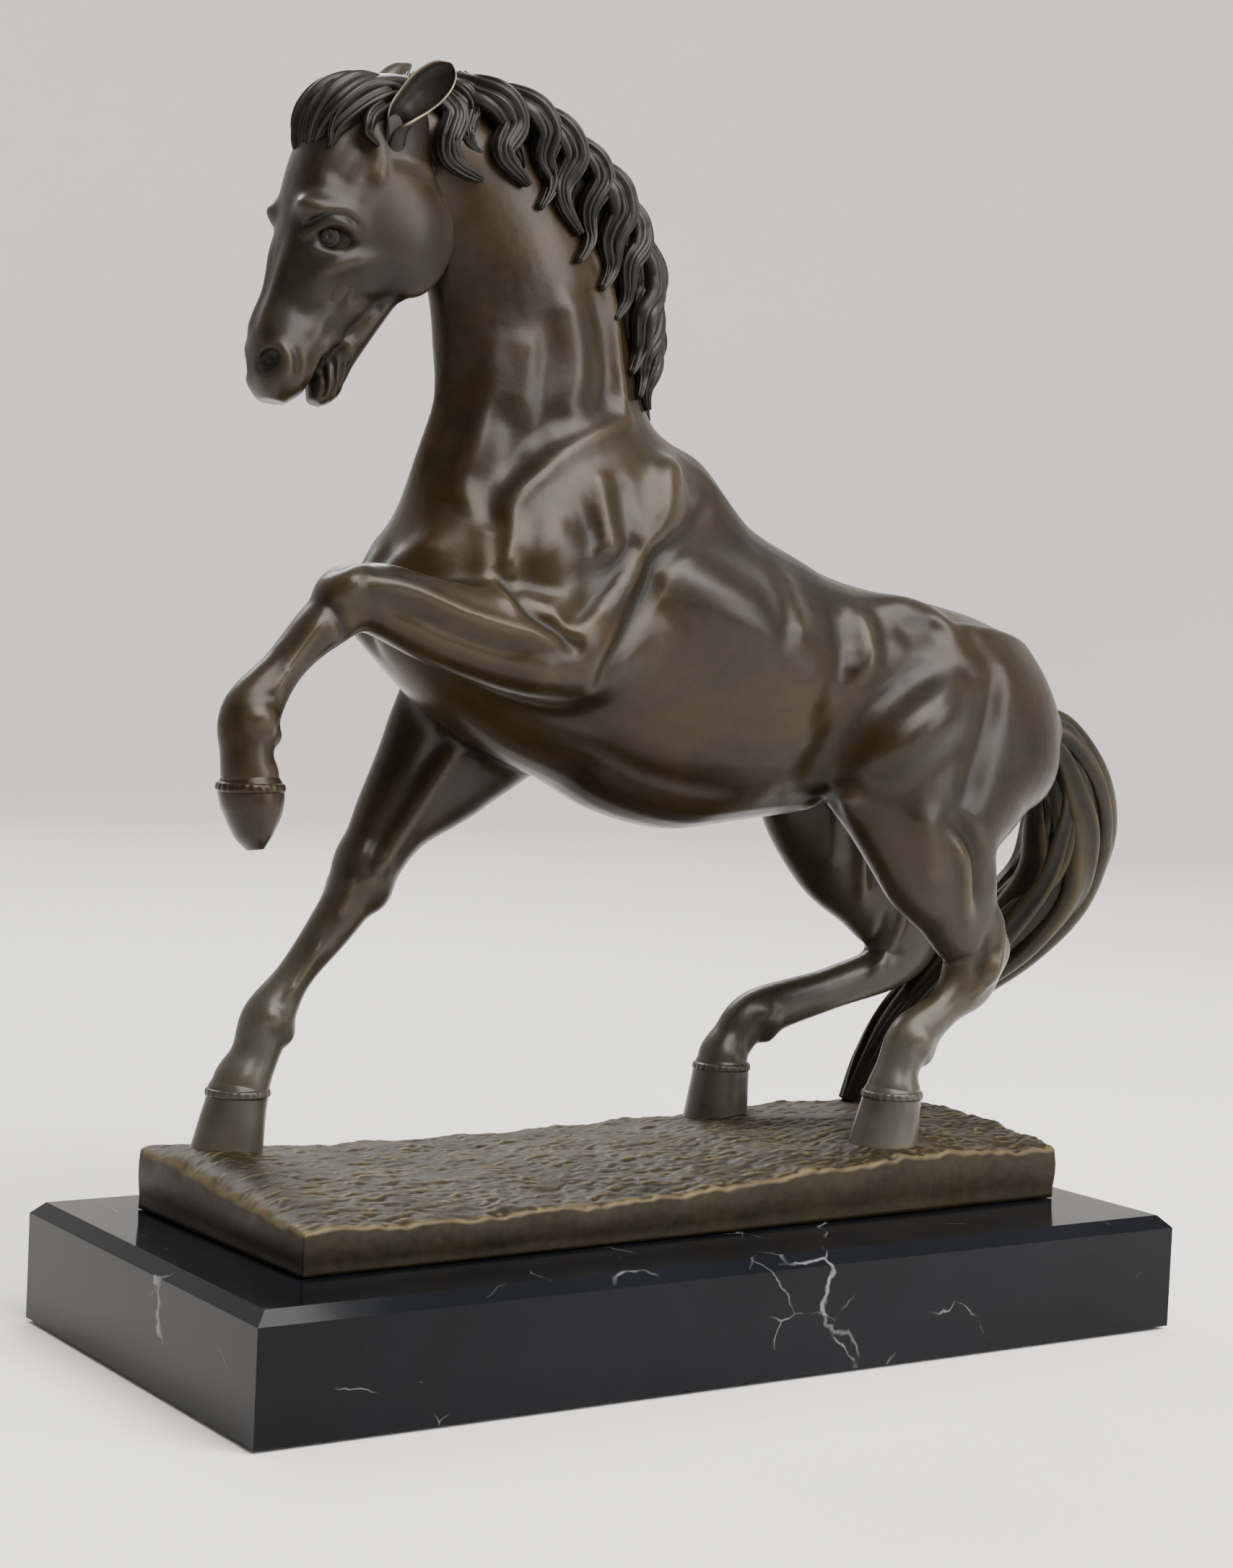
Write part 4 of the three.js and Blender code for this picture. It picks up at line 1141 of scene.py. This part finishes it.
def make_forelock():
    """Locks that lie on the forehead, over a base that fills it between them."""
    locks = []
    for across in (1, FAR_SHARE):
        for number, (width, drawn) in enumerate(FORELOCK_LOCKS):
            path = smoothed(np.array(drawn) * [1, across, 1], 3)
            share = np.linspace(0, 1, len(path))
            lift = 1.0 + 0.06 * np.sin(np.pi * share) + 0.02 * np.sin(9 * share + number)
            lift = lift + (0.05 if number > 3 else 0)
            path = BROW_CENTRE + unit((path - BROW_CENTRE) / BROW_RADII) * BROW_RADII * lift[:, None]
            path[:, 1] += 1.2 * np.sin(7 * share + 2.1 * number)
            full = np.sin(np.pi * np.clip(0.2 + 0.76 * share, 0, 1)) ** 0.8 * (1 - 0.3 * share) + 0.02
            up = unit((path - BROW_CENTRE) / BROW_RADII ** 2)
            locks.append(strand(path, up, width * 0.95 * full, 2.4 * full + 0.2, grooves=3, depth=0.26,
                                around=24, sweep=rng.uniform(-2, 2)))
    cast("forelock", joined(locks + [loft(FORELOCK, around=48, grow=-2.8)]), **HAIR)


# ---------------------------------------------------------------- the tail
TAIL = [
    [128, 0, 156, 6, 6, 6], [138, 0, 153, 7, 8, 8], [147, 1, 140, 11, 9, 12],
    [150, 3, 126, 13.5, 9.5, 14], [147, 6, 111, 13, 9.5, 13], [138, 12, 98, 12, 9, 12],
    [125, 19, 85, 9.5, 8, 9], [113, 27, 71, 6.5, 7, 6.5], [105, 31, 58, 4.5, 5, 4.5], [99, 32, 47, 3, 3, 3],
]
TAIL_JOINT = 5  # the station at which the tail is parted
TAIL_LOCKS = 12
TAIL_WEAR = (0.5, 3.2)  # how deep its fine and its broad hollows are


def parted(shape, around, ring):
    """A tube as two closed tubes that meet at one of its rings, each with its points' normals and marks."""
    points, faces = shape
    marks = mesh_marks(points, faces, TAIL_WEAR)
    normals = facing(points, faces)
    ends = []
    for rows in (slice(0, ring + 1), slice(ring, None)):
        def cut(values):
            values = values[:-2].reshape(-1, around, *values.shape[1:])[rows]
            return np.concatenate([values.reshape(-1, *values.shape[2:]), values[[0, -1]].mean(1)])

        own = cut(points)
        shape = own, tube_faces(len(own) // around, around)
        ends.append((shape, unit(cut(normals)), {key: cut(values) for key, values in marks.items()}))
    return ends


def make_tail(around=20, core_around=64, steps=8):
    """A core with locks that wind about it, parted into two pieces."""
    def flowing(angle, share):
        return 0.93 + 0.05 * np.cos(5 * angle + 5 * share) + 0.02 * np.cos(11 * angle - 4 * share)

    joint = TAIL_JOINT * steps
    core = loft(TAIL, around=core_around, steps=steps, grow=-0.5, lobes=flowing)
    tubes = [parted(core, core_around, joint)]
    rows = np.array(TAIL, float)
    spine = rows[:, :3]
    across, out = ways_off(spine)
    share = np.linspace(0, 1, len(rows))
    for k in range(TAIL_LOCKS):
        turn = 2 * np.pi * k / TAIL_LOCKS + 1.5 * share + 0.34 * np.sin(7 * share + 2 * k)
        c, s = np.cos(turn), np.sin(turn)
        reach = np.where(c > 0, rows[:, 3], rows[:, 5])
        way = out * (c * reach)[:, None] + across * (s * rows[:, 4])[:, None]
        size = np.sqrt(reach * rows[:, 4])
        depth = 0.84 + 0.05 * np.sin(4 * share + 1.7 * k)
        swell = 0.9 + 0.3 * np.sin(5 * share + 2.3 * k)
        lock = strand(spine + way * depth[:, None], unit(way), 0.40 * size * swell, 0.25 * size, grooves=2,
                      around=around, steps=steps, sweep=4)
        tubes.append(parted(lock, around, joint))
    for name, parts in zip(("upper_tail", "lower_tail"), zip(*tubes)):
        shapes, normals, marks = zip(*parts)
        marks = {key: np.concatenate([own[key] for own in marks]) for key in ("hollow", "ridge")}
        cast(name, joined(shapes), TAIL_BRONZE, "dark_bronze", normals=np.vstack(normals), marks=marks)


# ---------------------------------------------------------------- hooves
HOOVES = {
    "left_hind_hoof": [
        [66.9, -26, 62.8, 6.0, 6.1, 7.0], [66.5, -26, 60, 7.2, 7.2, 8.2], [66, -26, 57, 7.5, 7.5, 8.4],
        [63.5, -26, 44, 9.6, 8.3, 10.4],
    ],
    "right_hind_hoof": [
        [51.1, 28, 63.3, 6.0, 6.0, 6.4], [50.8, 28, 60, 7.2, 7.2, 7.8], [50.5, 28, 57, 7.6, 7.6, 8.2],
        [49.3, 28.5, 43, 9.0, 8.4, 9.4],
    ],
    "right_fore_hoof": [
        [-96.8, 22, 64.8, 6.0, 6.0, 6.4], [-97.4, 22, 61.5, 7.2, 7.2, 7.8],
        [-97.9, 22, 58.5, 7.3, 7.3, 7.9], [-100.4, 22, 44, 8.9, 8.3, 9.7],
    ],
    "left_fore_hoof": [
        [-122, -27, 141.5, 5.8, 5.7, 5.8], [-121.8, -27, 138, 7.3, 7.1, 7.3],
        [-121, -27, 133, 6.6, 7.2, 6.6], [-120.7, -27.6, 127.5, 3.6, 5.8, 4.2],
        [-120.5, -28, 124.3, 1.2, 3.4, 1.4],
    ],
}
# The coronet band about a hoof's second station: height above it and share of its section.
CORONET = ((1.3, 0.94), (0.9, 1.03), (0.1, 1.06), (-0.6, 1.05), (-1.1, 0.96))
HOOF_WEAR = (0.3, 1.5)


def make_hooves():
    """Hooves with growth rings, each under a milled band at the coronet."""
    def wall(angle, share):
        return 1 + 0.003 * np.sin(share * 34) * (share > 0.3) + 0.01 * np.sin(3 * angle + 4 * share)

    def milled(angle, share):
        return 1 + 0.012 * np.cos(26 * angle) * np.sin(np.pi * share)

    for name, stations in HOOVES.items():
        x, y, z, left, half, right = stations[1]
        band = [[x, y, z + rise, left * k, half * k, right * k] for rise, k in CORONET]
        hoof = loft(stations, around=56, steps=10, lobes=wall)
        cast(name, joined([hoof, loft(band, around=180, steps=4, lobes=milled)]), wear=HOOF_WEAR)


# ---------------------------------------------------------------- the cast ground
PLATE_LENGTH, PLATE_WIDTH = 229, 82
PLATE_CENTRE = (3, 6)
PLATE_TURN = 1.7  # degrees about Z
PLATE_BOTTOM = 30.3
PLATE_CROWN = 3.4  # how much higher the middle is than the edges
PLATE_FRONT = [40.5, 40.2, 40.4, 41.4, 43.8, 45, 43.8]  # heights of the front edge, from left to right
PLATE_BACK = [45.4, 43, 42.2, 42.4, 43, 44.2, 44.6]  # and of the back edge
MOUNDS = [(-100, 27, 1.6), (68, -22, 1.6), (53, 32, 0.7)]  # x, y and height of the rises under the hooves
CHISEL_CUTS = 4200
GROUND_WEAR = (0.10, 3)
SIDE_ROWS = 13  # rows of points down the plate's sides


def profile(heights, t):
    """Heights along an edge, eased from each to the next; `t` runs from 0 to 1."""
    place = np.clip(t, 0, 1) * (len(heights) - 1)
    i = np.minimum(place.astype(int), len(heights) - 2)
    part = (1 - np.cos((place - i) * np.pi)) / 2
    heights = np.array(heights)
    return heights[i] + (heights[i + 1] - heights[i]) * part


def chisel(top, gx, gy):
    """Cuts short strokes into the top at random places. One in three stands up instead."""
    x, y = gx[:, 0], gy[0]
    for _ in range(CHISEL_CUTS):
        cx = rng.uniform(-PLATE_LENGTH / 2, PLATE_LENGTH / 2)
        cy = rng.uniform(-PLATE_WIDTH / 2, PLATE_WIDTH / 2)
        slant, reach, thick = rng.normal(0, 0.25), rng.uniform(1.0, 3.4), rng.uniform(0.4, 0.85)
        depth = rng.uniform(0.08, 0.32) * rng.choice([-1, -1, 1]) * ease(0, 5, cx + PLATE_LENGTH / 2)
        near = tuple(slice(*np.searchsorted(line, [at - reach - 3, at + reach + 3]))
                     for line, at in ((x, cx), (y, cy)))
        dx, dy = gx[near] - cx, gy[near] - cy
        u = dx * math.cos(slant) + dy * math.sin(slant)
        v = dy * math.cos(slant) - dx * math.sin(slant) + 0.06 * u * u / reach
        top[near] += depth * np.exp(-((u / reach) ** 4) - (v / thick) ** 2)


def plate_top(gx, gy):
    """The height of the plate's rough top at each point of its grid."""
    half_x, half_y = PLATE_LENGTH / 2, PLATE_WIDTH / 2
    along, across = gx / PLATE_LENGTH + 0.5, gy / PLATE_WIDTH + 0.5
    front, back = profile(PLATE_FRONT, along), profile(PLATE_BACK, along)
    inland = 1 - np.exp(-(gx + half_x) / 5)
    top = front + (back - front) * across + PLATE_CROWN * 4 * across * (1 - across) * inland
    top += 0.25 * np.sin(gx * 0.23 + 1) + 0.2 * np.sin(gy * 0.31 + gx * 0.11)
    for x, y, height in MOUNDS:
        away = np.hypot(gx + PLATE_CENTRE[0] - x, gy + PLATE_CENTRE[1] - y)
        top += height * np.exp(-((away / 12) ** 2))
    chisel(top, gx, gy)
    edge = np.minimum.reduce([gx + half_x, half_x - gx, gy + half_y, half_y - gy])
    top -= 0.4 * np.exp(-edge / 0.6) + 0.6 * np.exp(-(gx + half_x) / 0.9)
    top += 0.3 * np.exp(-edge / 1.6) * np.sin(gx * 0.31 + 2 * np.sin(gx * 0.09) + gy * 0.4)
    top += 0.2 * np.exp(-edge / 1.2) * np.sin(gx * 0.83 + 1.5 * np.sin(gx * 0.21) + gy * 0.9)
    return top


def make_ground(step=0.5):
    """The cast ground: a grid for its top, rows of points down its sides, and a flat underside."""
    nx, ny = int(PLATE_LENGTH / step), int(PLATE_WIDTH / step)
    x = np.linspace(-PLATE_LENGTH / 2, PLATE_LENGTH / 2, nx)
    y = np.linspace(-PLATE_WIDTH / 2, PLATE_WIDTH / 2, ny)
    gx, gy = np.meshgrid(x, y, indexing="ij")
    grid = np.stack([gx, gy, plate_top(gx, gy)], 2).reshape(-1, 3)
    number = np.arange(nx * ny).reshape(nx, ny)
    corners = number[:-1, :-1], number[1:, :-1], number[1:, 1:], number[:-1, 1:]
    quads = [np.stack(corners, 2).reshape(-1, 4)]
    ring = np.concatenate([number[:, 0], number[-1, 1:], number[-2::-1, -1], number[0, -2:0:-1]])
    rim = grid[ring]
    travel = np.linspace(0, 2 * np.pi, len(rim), endpoint=False)
    outward = unit((rim[:, :2] / (PLATE_LENGTH, PLATE_WIDTH)) ** 7)
    points = [grid]
    base = len(grid)
    for share in np.linspace(0, 1, SIDE_ROWS + 1)[1:]:
        row = rim.copy()
        row[:, 2] = row[:, 2] + (PLATE_BOTTOM - row[:, 2]) * share
        waves = 0.12 * np.sin(17 * travel) * np.sin(np.pi * share)
        swell = 0.45 * np.sin(np.pi * min(share * 1.3, 1)) + waves
        row[:, :2] += outward * swell[:, None]
        points.append(row)
        lower = base + np.arange(len(rim))
        quads.append(np.stack([np.roll(ring, -1), ring, lower, np.roll(lower, -1)], 1))
        ring, base = lower, base + len(rim)
    tris = np.stack([np.roll(ring, -1), ring, np.full(len(rim), base)], 1)
    points = np.vstack(points + [[0, 0, PLATE_BOTTOM]])
    a = math.radians(PLATE_TURN)
    spun = points @ [[math.cos(a), math.sin(a), 0], [-math.sin(a), math.cos(a), 0], [0, 0, 1]]
    spun = spun + [*PLATE_CENTRE, 0]
    faces = [tris, np.vstack(quads)]
    marks = mesh_marks(spun, faces, GROUND_WEAR)
    for values in marks.values():
        values[len(grid):] = 0
    piece("ground_bronze", (spun, faces), GROUND, ["ground_plate"], "bronze", marks=marks)


clay = make_body()
make_head()
make_ears()
make_mane(clay)
make_forelock()
make_tail()
make_hooves()
make_ground()

# ---------------------------------------------------------------- camera, floor and light
CAMERA_AT = (-0.3972, -0.5799, 0.1727)
CAMERA_AZIMUTH, CAMERA_ELEVATION, CAMERA_ROLL = -33.95, 2.834, 2.569
CAMERA_LENS, CAMERA_SENSOR = 64.07, 36
AIM = (0.0, 0.0, 0.17)
# The lamps: place, size, power and colour.
LAMPS = {
    "key": ((0.2, -1.0, 1.35), (1.3, 1.3), 68, (1, 0.98, 0.95)),
    "fill": ((0.9, -1.2, 0.6), (0.6, 0.8), 13, (0.97, 0.98, 1)),
    "rim": ((0.2, 1.2, 1.2), (1.2, 0.5), 18, (1, 1, 1)),
}
SKY_COLOUR, SKY_STRENGTH = (0.86, 0.88, 0.92, 1), 1.05


def turned(at, x, y, z):
    """A place and three axes as a matrix."""
    return Matrix.Translation(at) @ Matrix(np.stack([x, y, z], 1)).to_4x4()


def place_camera():
    """The camera, which stands where the slab's edges in the photograph put it."""
    a, e, r = (math.radians(v) for v in (CAMERA_AZIMUTH, CAMERA_ELEVATION, CAMERA_ROLL))
    back = np.array([math.sin(a) * math.cos(e), -math.cos(a) * math.cos(e), math.sin(e)])
    right = np.array([math.cos(a), math.sin(a), 0])
    up = np.cross(back, right)
    tilted = math.cos(r) * right + math.sin(r) * up
    upright = math.cos(r) * up - math.sin(r) * right
    camera = bpy.data.objects.new("camera", bpy.data.cameras.new("camera"))
    camera.data.lens = CAMERA_LENS
    camera.data.sensor_width = CAMERA_SENSOR
    camera.matrix_world = turned(CAMERA_AT, tilted, upright, back)
    bpy.context.scene.collection.objects.link(camera)
    bpy.context.scene.camera = camera


def make_floor():
    """A floor that sweeps up into a wall all round, pale, but dark grey on the side where the camera stands.
    """
    p = Paint("pale_floor")
    base = p.mix(p.noise(3, 3), (0.82, 0.80, 0.77), (0.86, 0.84, 0.81))
    along = p.node("VectorMath", {0: p.place, 1: (-0.56, -0.83, 0)}, operation="DOT_PRODUCT")
    base = p.mix(p.level(along.outputs["Value"], 0.6, 1.5), base, (0.16, 0.16, 0.165))
    material = p.finish(color=base, rough=0.75)
    flat, sweep, height, around = 1.9, 0.9, 3.2, 96
    bend = np.linspace(0, np.pi / 2, 12)
    radii = np.concatenate([[0.5, 1.2], flat + sweep * np.sin(bend), [flat + sweep]])
    heights = np.concatenate([[0, 0], sweep * (1 - np.cos(bend)), [height]])
    turn = np.linspace(0, 2 * np.pi, around, endpoint=False)
    rings = [np.stack([r * np.cos(turn), r * np.sin(turn), np.full(around, z)], 1)
             for r, z in zip(radii, heights)]
    _, quads = tube_faces(len(rings), around)
    mesh = bpy.data.meshes.new("floor")
    mesh.from_pydata(np.vstack(rings).tolist(), [], [list(range(around)), *quads.tolist()])
    mesh.shade_smooth()
    mesh.materials.append(material)
    floor = bpy.data.objects.new("floor", mesh)
    bpy.context.scene.collection.objects.link(floor)


def light(name, at, size, power, colour):
    """A soft rectangular lamp that shines at the statuette."""
    data = bpy.data.lights.new(name, "AREA")
    data.shape = "RECTANGLE"
    data.size, data.size_y = size
    data.energy = power
    data.color = colour
    made = bpy.data.objects.new(name, data)
    z = unit(np.array(at) - AIM)
    x = unit(np.cross((0, 0, 1), z))
    made.matrix_world = turned(at, x, np.cross(z, x), z)
    made.visible_camera = False
    bpy.context.scene.collection.objects.link(made)


def light_scene():
    """A pale even sky and three soft lamps."""
    world = bpy.data.worlds.new("studio")
    world.use_nodes = True
    sky = world.node_tree.nodes["Background"]
    sky.inputs["Color"].default_value = SKY_COLOUR
    sky.inputs["Strength"].default_value = SKY_STRENGTH
    bpy.context.scene.world = world
    for name, lamp in LAMPS.items():
        light(name, *lamp)


place_camera()
make_floor()
light_scene()

# What is left of the CAD's own nodes: the slab, the felt and the steel fixings.
finishes = {"marble_plinth": marble(), "felt_base": felt()}
fixings = steel()
for name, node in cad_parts.items():
    if not node.hide_render:
        node.data.materials.clear()
        node.data.materials.append(finishes.get(name, fixings))
